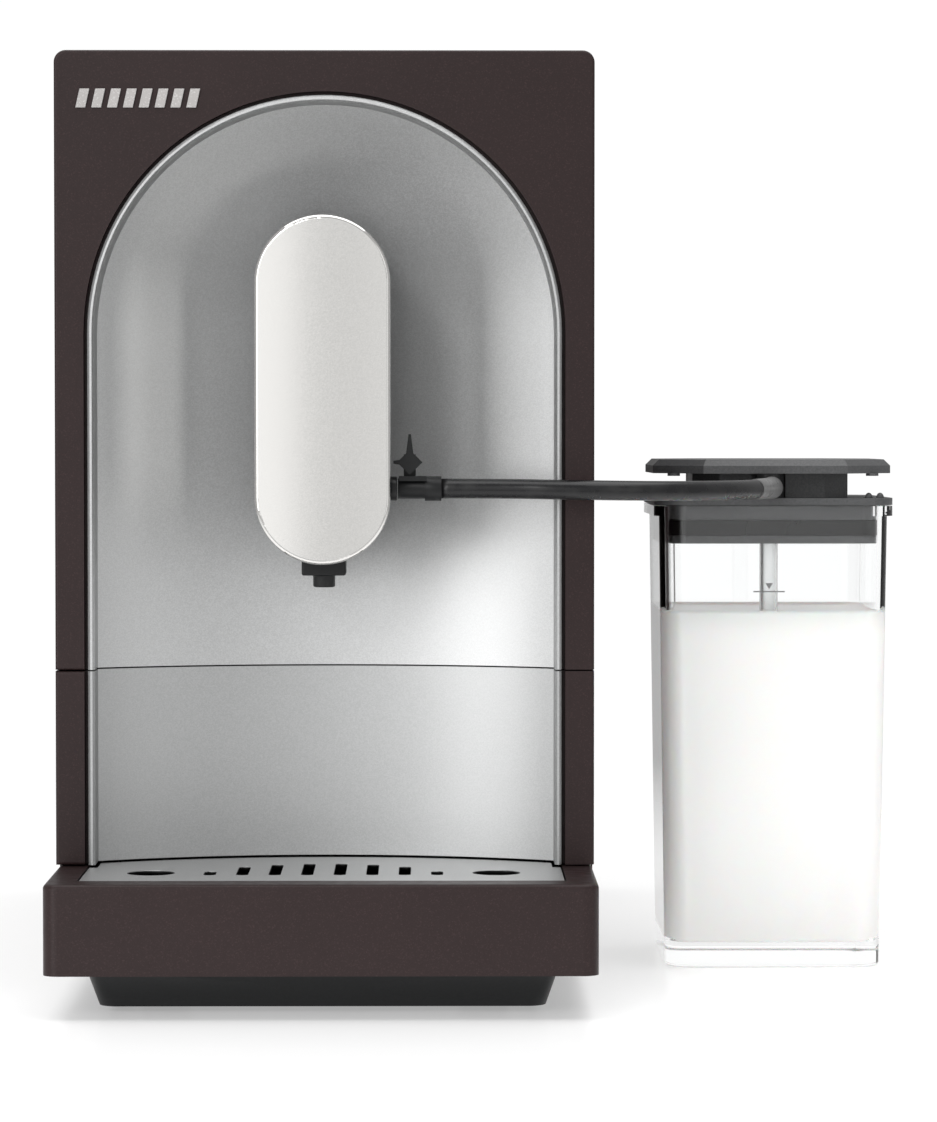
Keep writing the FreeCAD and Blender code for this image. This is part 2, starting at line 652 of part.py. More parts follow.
# Each component on the main board: how far it stands out, then its start and size along Y,
# and along Z from the board's lower edge.
COMPONENTS = [(14, -60, 28, 8, 22), (10, -20, 18, 10, 16), (18, 10, 34, 10, 30),
              (4, -50, 24, 60, 24), (8, 0, 12, 70, 12), (8, 20, 12, 70, 12)]


def control_boards():
    face = "leg_outer - 6"
    board = box("board", (face, "leg_outer - 4.4"), ("-70", "60"), ("board_low", "board_low + 120"))
    chips = [box("component", (f"{face} - {tall}", face), (y, f"{y} + {deep}"),
                 (f"board_low + {z}", f"board_low + {z} + {high}"))
             for tall, y, deep, z, high in COMPONENTS]
    part("control_boards", group("boards", join("board_whole", board, *chips), button_board()))


def button_board():
    """The small board under the four keys."""
    places = button_places()
    along = (f"{places[0]} - 10", f"{places[-1]} + 10")
    board = box("key_board", ("button_x - 11", "button_x + 11"), along, ("seam + 0.6", "seam + 2.2"))
    keys = [box("key", ("button_x - 3", "button_x + 3"), (f"{y} - 3", f"{y} + 3"),
                ("seam + 2.2", "seam + 3.6"))
            for y in places]
    return join("key_board_whole", board, *keys)


def button_bezel():
    body = Body("button_bezel")
    places = button_places()
    holes = [disc("button_x", y, "button_radius + button_clearance") for y in places]
    along = (f"{places[0]} - 12", f"{places[-1]} + 12")
    body.pad("XY", "body_height", "bezel_top",
             rounded(("button_x - 11.5", "button_x + 11.5"), along, "5"), *holes)


def buttons():
    names = ("espresso_button", "long_coffee_button", "milk_coffee_button", "rinse_button")
    for name, y in zip(names, button_places()):
        top = "bezel_top + button_proud"
        body = Body(name)
        body.pad("XY", f"{top} - button_height", top, disc("button_x", y, "button_radius"))
        body.soften("Fillet", "0.8", lies_at("z", top))


def tank_dock():
    y = "(tank_front + tank_back) / 2"
    ring = tube("dock_ring", "z", ("0", y, "shelf_top"), "dock_radius", "valve_radius + 0.4",
                "tank_bottom - 0.6 - shelf_top")
    spigot = tube("dock_spigot", "z", ("0", y, "shelf_height - 8"), "5.8", "3", "8 + shelf_thickness")
    part("tank_dock", group("dock", ring, spigot))


def power_inlet():
    def around(half, deep, z_half):
        return [("inlet_x - " + half, "inlet_x + " + half), ("back - " + deep, "back"),
                ("inlet_z - " + z_half, "inlet_z + " + z_half)]
    case = box("inlet_case", *around("13.4", "26", "9.9"))
    (mouth_x, _, mouth_z) = around("11.8", "17", "8")
    mouth = box("inlet_mouth", mouth_x, ("back - 17", "back + 1"), mouth_z)
    pins = [box("inlet_pin", (f"inlet_x + {x} - 1", f"inlet_x + {x} + 1"), ("back - 18", "back - 5"),
                (f"inlet_z + {z} - 2.5", f"inlet_z + {z} + 2.5")) for x, z in ((-7, -1.5), (0, 3), (7, -1.5))]
    tabs = [box("inlet_tab", (f"inlet_x + {x} - 2.4", f"inlet_x + {x} + 2.4"), ("back - 34", "back - 25"),
                ("inlet_z - 0.4", "inlet_z + 0.4")) for x in (-7, 0, 7)]
    part("power_inlet", join("inlet_whole", cut("inlet_shell", case, mouth), *pins, *tabs))


def power_switch():
    """A rocker, on a pivot bar that runs through it."""
    body = Body("power_switch")
    body.pad("YZ", "inlet_x - 5.8", "inlet_x + 5.8",
             [("back - 8", "switch_z - 8.6"), ("back - 0.2", "switch_z - 8.6"),
              ("back + 1.8", "switch_z - 8.6"), ("back + 0.4", "switch_z"), ("back + 1.8", "switch_z + 8.6"),
              ("back - 8", "switch_z + 8.6")])
    body.pad("YZ", "inlet_x - 6.3", "inlet_x + 6.3", disc("back - 5.5", "switch_z", "1.5"))


def pipe(name, radius, bore, *points):
    """A hose: straight runs joined by tangent arcs along chosen points."""
    return swept(name, route_wire(points), radius, bore)


def route_wire(points):
    """Straight runs and tangent arcs, each arc as large as its two runs allow."""
    spots = [V(*p) for p in points]
    edges, radii, here = [], [], spots[0]
    for before, corner, after in zip(spots, spots[1:], spots[2:]):
        into, out = corner - before, after - corner
        half_turn = into.getAngle(out) / 2
        reach = 0.45 * min(into.Length, out.Length)
        radii.append(reach / math.tan(half_turn))
        into.normalize()
        out.normalize()
        start, end = corner - into * reach, corner + out * reach
        middle = corner + (out - into).normalize() * radii[-1] * (1 / math.cos(half_turn) - 1)
        edges += [Part.LineSegment(here, start).toShape(), Part.Arc(start, middle, end).toShape()]
        here = end
    edges.append(Part.LineSegment(here, spots[-1]).toShape())
    return Part.Wire(edges), radii


def swept(name, route, radius, bore):
    wire, _ = route
    first = wire.Edges[0]
    start, along = first.valueAt(first.FirstParameter), first.tangentAt(first.FirstParameter)
    def solid(size):
        ring = Part.Wire([Part.Circle(start, along, size).toShape()])
        return wire.makePipeShell([ring], True, False)
    shape = solid(radius) if not bore else solid(radius).cut(solid(bore))
    item = doc.addObject("Part::Feature", name)
    item.Shape = shape
    return item


def water_hoses():
    """Tank to meter, meter to pump, pump to heater and heater to brew unit."""
    shelf, top, floor = number("shelf_height"), number("shelf_top"), number("floor_top")
    tank_y = number("(tank_front + tank_back) / 2")
    meter_x, meter_y, nipple = number("meter_x"), number("meter_y"), number("nipple_radius")
    suction = pipe("suction", nipple, 1.8, (0, tank_y, shelf - 8.05), (0, tank_y, shelf - 26),
                   (10, tank_y - 2, shelf - 44), (32, tank_y - 12, shelf - 50),
                   (meter_x, meter_y, shelf - 54), (meter_x, meter_y, floor + number("meter_height") + 12.05))
    outlet = meter_x - number("meter_radius") - 9.05
    pump_x, pump_z = number("pump_x"), number("pump_z")
    pump_in, pump_out = number("pump_back + spigot_over") + 0.05, number("pump_front - spigot_over") - 0.05
    feed = pipe("feed", nipple, 1.8, (outlet, meter_y, floor + 9), (outlet - 16, meter_y, floor + 9),
                (-10, 118, 28), (-26, 134, 38), (pump_x, 147, 49), (pump_x, 146, pump_z),
                (pump_x, pump_in, pump_z))
    heater_x, heater_z = number("-heater_outer + 10"), top + number("heater_height / 2")
    heater_in = number("heater_back + heater_stub") + 0.05
    pressure = pipe("pressure", 3, 1.5, (pump_x, pump_out, pump_z), (pump_x, pump_out - 16, pump_z),
                    (-50, -2, 70), (-64, 12, 80), (-66, 36, 86), (-66, 52, 98), (-66, 54, top + 6),
                    (-68, 54, heater_z - 8), (heater_x, heater_in + 14, heater_z),
                    (heater_x, heater_in, heater_z))
    start, axis = number("slot_start + 10"), number("brew_axis")
    out_x, heater_out = number("-heater_inner - 10"), number("heater_front - heater_stub") - 0.05
    brew = pipe("brew_line", 3, 1.5, (out_x, heater_out, heater_z), (out_x, heater_out - 16, heater_z),
                (out_x, heater_out - 30, heater_z + 14), (-49, start, top + 68), (-50, start, axis - 34),
                (-46, start, axis - 20), (-number("brew_half") - 0.05, start, axis - 20))
    part("water_hoses", group("hoses", suction, feed, pressure, brew))


def wiring():
    x, y, z = number("inlet_x") + 7, number("back") - 34.1, number("inlet_z")
    board, top = number("leg_outer") - 5.2, number("shelf_top")
    part("wiring", pipe("loom", 2.4, 0, (x, y, z), (x, y - 11, z), (x + 7, y - 27, z + 8), (72, 88, 66),
                        (76, 74, 86), (76, 70, top - 7), (76.5, 70, top + 15), (79, 71, top + 29),
                        (board, 68, top + 37), (board, 60.2, top + 37)))


def spout_guide():
    body = Body("spout_guide")
    body.pad("XY", "shelf_top", "neck_low + neck_height + spout_rise + 10",
             [("-20", "guide_y"), ("20", "guide_y"), ("20", "guide_y + 3"), ("-20", "guide_y + 3")])
    body.pad("XY", "neck_low - spout_drop - 10", "neck_low + neck_height + spout_rise + 10",
             rectangle(("-neck_half - 5", "-neck_half - 1"), ("rail_y", "guide_y")),
             rectangle(("neck_half + 1", "neck_half + 5"), ("rail_y", "guide_y")))


# ---------------------------------------------------------------- spout
def spout_cover():
    body = Body("spout_cover")
    top = "pill_bottom + pill_height"
    body.pad("XZ", "pill_back", "pill_front", stadium("0", "pill_half", "pill_bottom", top))
    body.pocket("XZ", "pill_back", "pill_front + pill_wall",
                stadium("0", "pill_half - pill_wall", "pill_bottom + pill_wall", f"{top} - pill_wall"))
    body.soften("Fillet", "1.4", lies_at("y", "pill_front"))


def spout_trim():
    body = Body("spout_trim")
    top = "pill_bottom + pill_height"
    body.pad("XZ", "trim_back", "pill_back", stadium("0", "pill_half", "pill_bottom", top),
             stadium("0", "pill_half - pill_wall", "pill_bottom + pill_wall", f"{top} - pill_wall"))


def spout_carriage():
    body = Body("spout_carriage")
    wall = "carriage_wall"
    body.pad("XZ", "carriage_back", "trim_back",
             stadium("0", "carriage_half", "carriage_low", "carriage_top"))
    body.pocket("XZ", "trim_back", "carriage_back - 5.7",
                stadium("0", f"carriage_half - {wall}", f"carriage_low + {wall}", f"carriage_top - {wall}"))
    body.pad("XZ", "carriage_back", "guide_y - 0.6",
             rectangle(("-neck_half", "neck_half"), ("neck_low", "neck_low + neck_height")))
    body.pocket("YZ", f"carriage_half - {wall} - 2", "carriage_half + 1",
                disc("port_y", "port_height", "port_radius + 0.1"))
    body.pocket("XY", "carriage_low - 1", f"carriage_low + {wall} + 3",
                rectangle(("-nozzle_half - 0.1", "nozzle_half + 0.1"), ("port_y - 4.9", "port_y + 7.9")))


def coffee_nozzle():
    low = "pill_bottom - nozzle_drop"
    middle = "port_y + 1.5"
    block = box("nozzle_block", ("-nozzle_half", "nozzle_half"), ("port_y - 4.8", "port_y + 7.8"),
                (low, "carriage_low + 8"))
    tip = rod("nozzle_spout", "z", ("0", middle, f"{low} - nozzle_drop"), "nozzle_tip", "nozzle_drop")
    bore = rod("nozzle_bore", "z", ("0", middle, f"{low} - nozzle_drop - 1"), "1.8", "nozzle_drop + 20")
    part("coffee_nozzle", cut("nozzle", join("nozzle_blank", block, tip), bore))


def milk_frother():
    chamber = rod("froth_chamber", "z", ("9", "port_y", "port_height - 8"), "6.4", "40")
    throat = rod("froth_throat", "z", ("9", "port_y", "port_height + 32"), "3.5", "18")
    part("milk_frother", join("frother", chamber, throat))


def milk_port():
    inner = tube("port_tube", "x", ("15.5", "port_y", "port_height"), "port_radius", "1.6",
                 "carriage_half - 15.5")
    collar = tube("port_collar", "x", ("carriage_half", "port_y", "port_height"), "collar_radius", "1.6",
                  "collar_end - carriage_half")
    part("milk_port", join("port", inner, collar))


def hose_connector():
    """The barrel that meets the milk port, with a table and a post that carry the knob."""
    start, table_top = "collar_end + dock_gap", "port_height + 4.1"
    post = ("knob_back + 0.3", "knob_back + 0.3 + post_depth")
    barrel = rod("connector_barrel", "x", (start, "port_y", "port_height"), "connector_radius - 0.7",
                 f"connector_end - ({start})")
    grip = rod("connector_grip", "x", ("knob_x + 5", "port_y", "port_height"), "connector_radius",
               "connector_end - knob_x - 5")
    table = box("connector_table", ("knob_x - 3.6", "knob_x + 5.6"), ("port_y - 4", post[1]),
                ("port_height + 2.5", table_top))
    stand = box("knob_post", ("knob_x - 2", "knob_x + 2"), post, (f"{table_top} - 0.1", "knob_z + 2.6"))
    bore = rod("stem_bore", "y", ("knob_x", "knob_back", "knob_z"), "knob_stem + shaft_fit", "post_depth")
    part("hose_connector", cut("connector", join("connector_blank", barrel, grip, table, stand), bore))


# The knob's outline, across and up from its axis: a diamond with a pointer and a short tail.
KNOB_OUTLINE = [(0, -4.2), (4.2, 0), (1.2, 3), (0.4, 9.3), (-0.4, 9.3), (-1.2, 3), (-3.4, 0.8), (-5.4, 0.5),
                (-5.4, -0.5), (-3.4, -0.8)]


def froth_knob():
    body = Body("froth_knob")
    body.pad("XZ", "knob_back", "knob_front",
             [(f"knob_x + {across}", f"knob_z + {up}") for across, up in KNOB_OUTLINE])
    body.pad("XZ", "knob_back", "knob_back + post_depth - 1", disc("knob_x", "knob_z", "knob_stem"))


# ---------------------------------------------------------------- lever and brew group
def pod_lever():
    body = Body("pod_lever")
    body.pad("XY", "lever_under", "lever_top",
             rounded(("-lever_half", "lever_half"), ("-lever_length", "-knuckle_radius + 1"), "3"))
    body.pad("YZ", "-lever_half", "lever_half", disc("0", "pin_z", "knuckle_radius"))
    body.pocket("YZ", "-lever_half - 1", "lever_half + 1", disc("0", "pin_z", "pin_radius + shaft_fit"))
    body.pad("XY", "lever_under", "lever_under - 1.6",
             rounded(("-22", "22"), ("-lever_length + 4", "-lever_length + 18"), "3"))
    body.soften("Fillet", "0.8", lambda e: lies_at("z", "lever_top")(e) and e.BoundBox.YMin < -5)


def lever_pin():
    reach = "(well_half + well_side)"
    part("lever_pin", rod("hinge_pin", "x", (f"-{reach}", "0", "pin_z"), "pin_radius", f"2 * {reach}"))


def brew_piston():
    groove_at = ("0", "slot_end + 4", "brew_axis")
    groove_floor = "bore_radius - 2"
    head = rod("piston_head", "y", ("0", "slot_end", "brew_axis"), "bore_radius - shaft_fit", "piston_length")
    stem = rod("piston_stem", "y", ("0", "slot_end + piston_length - 1", "brew_axis"), "piston_rod", "26")
    groove = tube("seal_groove", "y", groove_at, "bore_radius + 2", groove_floor, "3")
    part("brew_piston", cut("piston", join("piston_blank", head, stem), groove))
    part("piston_seal", tube("seal", "y", groove_at, "bore_radius - shaft_fit / 2", groove_floor, "3"))


# ---------------------------------------------------------------- water tank
def water_tank():
    body = Body("water_tank")
    w = "tank_wall"
    body.pad("XY", "tank_bottom", "tank_top",
             rounded(("-tank_half", "tank_half"), ("tank_front", "tank_back"), "tank_corner"))
    inside = rounded((f"-tank_half + {w}", f"tank_half - {w}"), (f"tank_front + {w}", f"tank_back - {w}"),
                     f"(tank_corner - {w})")
    body.pocket("XY", "tank_top", "tank_bottom + 2.5", inside)
    body.pocket("XY", "tank_bottom - 1", "tank_bottom + 4",
                disc("0", "(tank_front + tank_back) / 2", "valve_radius"))


def tank_valve():
    y = "(tank_front + tank_back) / 2"
    stem = rod("valve_stem", "z", ("0", y, "shelf_top + 0.6"), "valve_radius",
               "tank_bottom + 8.4 - shelf_top")
    part("tank_valve", cut("valve", stem, rod("valve_bore", "z", ("0", y, "shelf_top - 1"), "4", "9")))


def tank_lid():
    """A plate with a round hinge edge at its back, a rim that drops into the tank and a finger slot."""
    body = Body("tank_lid")
    top, under_rim, w = "body_height - 0.2", "lid_under - 4", "(tank_wall + 0.9)"
    plate = rounded(("-tank_half + 0.5", "tank_half - 0.5"), ("tank_front + 0.2", "hinge_y"),
                    "(tank_corner - 5)")
    body.pad("XY", "lid_under", top, plate)
    body.pad("XY", "lid_under", under_rim,
             rounded((f"-tank_half + {w}", f"tank_half - {w}"), (f"tank_front + {w}", "hinge_y - 6"), "5"))
    inside = f"({w} + 2)"
    hollow = rounded((f"-tank_half + {inside}", f"tank_half - {inside}"),
                     (f"tank_front + {inside}", "hinge_y - 8"), "4")
    body.pocket("XY", under_rim, "lid_under", hollow)
    body.pad("YZ", "-tank_half + 4", "tank_half - 4", disc("hinge_y", "hinge_z", "tank_lid_thickness / 2"))
    body.pocket("XY", "body_height", "body_height - 1.2", stadium_across("0", "tank_front + 12", "24", "4"))


def stadium_across(x, y, half, radius):
    """A slot shape with its long side along X."""
    left, right = f"{x} - {half} + {radius}", f"{x} + {half} - {radius}"
    low, high = f"{y} - {radius}", f"{y} + {radius}"
    return [(left, low), (right, low, radius, 1), (f"{right} + {radius}", y, radius, 1), (right, high),
            (left, high, radius, 1), (f"{left} - {radius}", y, radius, 1)]


# ---------------------------------------------------------------- drawers
def pod_bin():
    part("pod_bin", tub("bin", ("-bin_half", "bin_half"), ("bin_start", "bin_start + bin_length"),
                        ("bin_floor", "shelf_height - 4"), "bin_wall", "bin_wall"))


def bin_front():
    """The drawer's front corners and the wall that carries the niche skin and the bin."""
    body = Body("bin_front")
    inner = "arch_radius + panel_fit"
    arm = "leg_inner - 0.5"
    back, wall = "bin_start", "bin_wall_front"
    body.pad("XY", "bin_low", "split_low",
             [("-side", "front"), (f"-({inner})", "front"), (f"-({inner})", wall), (inner, wall),
              (inner, "front"), ("side", "front"), ("side", "frame_back"), (arm, "frame_back"), (arm, back),
              (f"-({arm})", back), (f"-({arm})", "frame_back"), ("-side", "frame_back")])
    groove = "arch_radius + groove_width"
    body.pocket("XZ", "front - 1", "front + groove_depth",
                rectangle((f"-({groove})", groove), ("bin_low - 1", "split_low + 1")))
    outer = lies_at("y", "front")
    body.soften("Fillet", "1", lambda e: outer(e) and abs(e.BoundBox.XMin) > number("side") - 0.1)


def lower_niche_panel():
    body = Body("lower_niche_panel")
    body.pad("XY", "bin_low", "split_low", niche_plan())
    body.soften("Chamfer", "rim_bevel", lambda e: lies_at("y", "rim_y")(e) and upright(e))


def drip_tray():
    part("drip_tray", tub("tray", ("-tray_half", "tray_half"), ("tray_front", "tray_front + tray_length"),
                          ("floor_top + panel_gap", "tray_top"), "tray_wall", "tray_wall"))


def bezel_plan(inset):
    """The drawer rim in plan: a wide U with rounded front corners, brought in by an inset."""
    r = f"(drawer_corner - {inset})"
    half, front = f"(drawer_half - {inset})", f"(drawer_front + {inset})"
    back = f"(frame_back - 0.2 - {inset})"
    inner, inner_front = f"(drawer_inner + {inset})", f"(drawer_front + rim_front - {inset})"
    return [(f"-{half}", back), (f"-{half}", f"{front} + {r}", r, 1), (f"-{half} + {r}", front),
            (f"{half} - {r}", front, r, 1), (half, f"{front} + {r}"), (half, back), (inner, back),
            (inner, inner_front), (f"-{inner}", inner_front), (f"-{inner}", back)]


def drip_bezel():
    body = Body("drip_bezel")
    low = "base_top + panel_gap"
    body.pad("XY", low, "drawer_top", bezel_plan("0"))
    body.pocket("XY", low, "drawer_top - panel_wall", bezel_plan("panel_wall"))
    top = lies_at("z", "drawer_top")
    front_edge, side_edge = number("drawer_front + 6"), number("drawer_half") - 0.1
    body.soften("Fillet", "rim_round", lambda e: top(e) and (e.BoundBox.YMin < front_edge
                                                             or abs(e.BoundBox.XMin) > side_edge))


def drip_grille():
    body = Body("drip_grille")
    wide, narrow, gap = "tray_half", "niche_half - grille_gap", "grille_gap"
    curve = f"niche_curve - {gap}"
    back = f"niche_back - {gap}"
    side_y = f"niche_back - niche_curve + sqrt(({curve}) * ({curve}) - ({narrow}) * ({narrow}))"
    slots = []
    start = "drawer_front + slot_front"
    for k in range(8):
        x = f"({k} - 3.5) * slot_pitch"
        end = f"{start} - 5 + sqrt(slot_fan * slot_fan - ({x}) * ({x}))"
        slots.append(stadium(x, "slot_width / 2", start, end))
    holes = [disc(f"{sign}hole_spread", "drawer_front + hole_front", "hole_radius") for sign in ("-", "")]
    body.pad("XY", "tray_top + panel_gap", "drawer_top - 0.2",
             [(f"-({wide})", "tray_front"), (wide, "tray_front"), (wide, "rim_y - 1"), (narrow, "rim_y - 1"),
              (narrow, side_y, curve, 1), ("0", back, curve, 1), (f"-({narrow})", side_y),
              (f"-({narrow})", "rim_y - 1"), (f"-({wide})", "rim_y - 1")], *slots, *holes)


# ---------------------------------------------------------------- milk container
def square(half, radius):
    return rounded((f"jug_x - {half}", f"jug_x + {half}"), (f"jug_y - {half}", f"jug_y + {half}"), radius)


def facets(half, corner):
    """A square with its corners cut off."""
    left, right = f"jug_x - {half}", f"jug_x + {half}"
    low, high = f"jug_y - {half}", f"jug_y + {half}"
    return [(f"{left} + {corner}", low), (f"{right} - {corner}", low), (right, f"{low} + {corner}"),
            (right, f"{high} - {corner}"), (f"{right} - {corner}", high), (f"{left} + {corner}", high),
            (left, f"{high} - {corner}"), (left, f"{low} + {corner}")]


def milk_jug():
    body = Body("milk_jug")
    shoulder = "jug_height - jug_rim_height"
    body.loft(["0", shoulder],
              [square("jug_bottom_half", "jug_corner"), square("jug_top_half", "jug_corner")])
    body.pad("XY", shoulder, "jug_height", square("jug_rim", "jug_corner + 1.8"))
    body.loft(["jug_floor", "jug_height + 1"],
              [square("(jug_bottom_half - jug_wall)", "(jug_corner - jug_wall)"),
               square("(jug_top_half - jug_wall)", "(jug_corner - jug_wall)")], hollow=True)
    body.soften("Fillet", "1.5", lies_at("z", "0"))


def lid_base():
    body = Body("lid_base")
    body.pad("XY", "lid_low", "waist_low", square("jug_rim", "jug_corner + 1.8"))
    body.pad("XY", "lid_low", "lid_low - plug_depth", square("plug_half", "(jug_corner - jug_wall)"))
    body.pocket("XY", "lid_low - plug_depth", "lid_low - 2", square("(plug_half - 5)", "3"))
    body.pad("XY", "waist_low", "lid_high", facets("waist_half", "9"))
    body.pocket("XY", "seal_low", "seal_low + seal_height",
                square("(plug_half + 2)", "(jug_corner - jug_wall)"), square("(plug_half - 2.4)", "4"))
    body.pocket("XY", "waist_low + 1", "lid_low - 3", disc("elbow_x", "elbow_y", "tube_radius + 0.1"))
    body.pocket("XY", "waist_low", "lid_high + 1",
                rectangle(("elbow_x - 6", "elbow_x + 6"), ("jug_y - waist_half - 1", "elbow_y + 5.6")))


def lid_seal():
    body = Body("lid_seal")
    body.pad("XY", "seal_low + 0.1", "seal_low + seal_height - 0.1",
             square("(plug_half + 0.25)", "(jug_corner - jug_wall)"), square("(plug_half - 2.3)", "4"))


def lid_top():
    body = Body("lid_top")
    body.pad("XY", "lid_high", "lid_top", facets("jug_rim", "lid_facet"))
    body.soften("Chamfer", "2.2", lies_at("z", "lid_top"))
    nubs = [disc(x, "jug_y - 31", "nub_radius") for x in ("jug_x - nub_spread", "jug_x + nub_spread")]
    body.pad("XY", "lid_high", "lid_high - nub_height", *nubs)


def hose_elbow():
    z = "waist_low + 0.05"
    upright_leg = rod("elbow_leg", "z", ("elbow_x", "elbow_y", z), "elbow_radius", "lid_gap - 0.3")
    nose = rod("elbow_nose", "y", ("elbow_x", "elbow_y - nose_length", "port_height - 0.7"), "nose_radius",
               "nose_length")
    part("hose_elbow", join("elbow", upright_leg, nose))


def intake_tube():
    part("intake_tube", tube("straw", "z", ("elbow_x", "elbow_y", "tube_bottom"), "tube_radius", "2.2",
                             "waist_low + 0.05 - tube_bottom"))


# The milk hose's route, chosen by hand from the connector to the lid's elbow.
HOSE_ROUTE = [(38.9, -175.0, 169.9), (59.0, -175.0, 169.9), (81.0, -178.4, 169.5), (104.0, -173.0, 169.1),
              (124.0, -159.5, 168.9), (140.5, -141.5, 168.9), (151.5, -121.5, 169.2), (154.7, -105.5, 169.2),
              (154.7, -96.4, 169.2)]


def milk_hose():
    radius = number("hose_radius")
    route = route_wire(HOSE_ROUTE)
    hose = part("milk_hose", swept("hose", route, radius, 0))
    wire, radii = route
    print("hose bend radii", [round(r, 1) for r in radii], "length", round(wire.Length, 1))
    section = math.pi * radius ** 2
    print("hose volume over section times length", round(hose.Shape.Volume / (section * wire.Length), 4))


def check_and_export():
    doc.recompute()
    for item in doc.Objects:
        if "Invalid" in item.State or "Error" in item.State:
            raise ValueError(f"{item.Label} failed: {item.State}")
    for item in parts:
        if item.Shape.isNull() or not item.Shape.isValid() or not item.Shape.Solids:
            raise ValueError(f"{item.Label} has no valid solid")
    os.makedirs("parts", exist_ok=True)
    for item in parts:
        item.Shape.exportStep(f"parts/{item.Label}.step")
    print(len(parts), "sub-parts written")


for make in (base_housing, rubber_feet, front_frame, nameplate, niche_panel, side_panels, top_cover,
             rear_cover, housing_screws, chassis, drawer_rails, pump, pump_mounts, flow_meter,
             steam_valve, thermoblock, brew_unit_body, needle_plate, pod_chute, control_boards,
             button_bezel, buttons, tank_dock, power_inlet, power_switch, water_hoses, wiring,
             spout_guide, spout_cover, spout_trim, spout_carriage, coffee_nozzle, milk_frother,
             milk_port, hose_connector, froth_knob, pod_lever, lever_pin, brew_piston, water_tank,
             tank_valve, tank_lid, pod_bin, bin_front, lower_niche_panel, drip_tray, drip_bezel,
             drip_grille, milk_jug, lid_base, lid_seal, lid_top, hose_elbow, intake_tube, milk_hose):
    make()
check_and_export()
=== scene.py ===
import math

import bmesh
import bpy
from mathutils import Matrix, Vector


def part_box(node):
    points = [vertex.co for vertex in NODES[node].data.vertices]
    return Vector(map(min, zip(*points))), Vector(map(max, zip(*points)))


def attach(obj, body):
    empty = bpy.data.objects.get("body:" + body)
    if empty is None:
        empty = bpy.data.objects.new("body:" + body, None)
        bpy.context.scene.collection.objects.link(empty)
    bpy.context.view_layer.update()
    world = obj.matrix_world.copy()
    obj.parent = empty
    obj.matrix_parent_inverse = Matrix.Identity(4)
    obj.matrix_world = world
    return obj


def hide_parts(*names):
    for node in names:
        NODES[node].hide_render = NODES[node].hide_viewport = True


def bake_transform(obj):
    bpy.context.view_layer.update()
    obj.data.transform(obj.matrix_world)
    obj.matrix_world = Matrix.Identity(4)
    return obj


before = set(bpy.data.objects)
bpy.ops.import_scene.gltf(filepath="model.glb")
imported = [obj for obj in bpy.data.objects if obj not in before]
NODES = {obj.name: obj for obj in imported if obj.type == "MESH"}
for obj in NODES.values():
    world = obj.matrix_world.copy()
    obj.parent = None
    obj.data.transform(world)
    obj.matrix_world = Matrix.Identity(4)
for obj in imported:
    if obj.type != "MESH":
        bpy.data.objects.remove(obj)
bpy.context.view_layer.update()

MM = 0.001
MILK_LEVEL = 126 * MM


# ---------------------------------------------------------------- camera
def aim_camera():
    data = bpy.data.cameras.new("front_view")
    data.lens, data.sensor_width = 129.8, 36.0
    camera = bpy.data.objects.new("front_view", data)
    camera.location = (0.035, -1.515, 0.188)
    camera.rotation_euler = (math.radians(88.2), 0.0, math.radians(-0.55))
    bpy.context.scene.collection.objects.link(camera)
    bpy.context.scene.camera = camera


aim_camera()


# ---------------------------------------------------------------- shader language
class Value:
    """One socket of a shader graph, with the arithmetic that its finishes use."""

    def __init__(self, finish, socket):
        self.finish, self.socket = finish, socket

    def _math(self, operation, first, second):
        return self.finish.node("ShaderNodeMath", {"operation": operation}, {0: first, 1: second})

    def __add__(self, other):
        return self._math("ADD", self, other)

    def __mul__(self, other):
        return self._math("MULTIPLY", self, other)

    def __pow__(self, other):
        return self._math("POWER", self, other)

    def __rpow__(self, other):
        return self._math("POWER", other, self)

    __radd__, __rmul__ = __add__, __mul__

    def span(self, low, high, start=0.0, end=1.0):
        """Maps low..high to start..end, and holds the ends."""
        return self.finish.node("ShaderNodeMapRange", {}, {
            "Value": self, "From Min": low, "From Max": high, "To Min": start, "To Max": end})


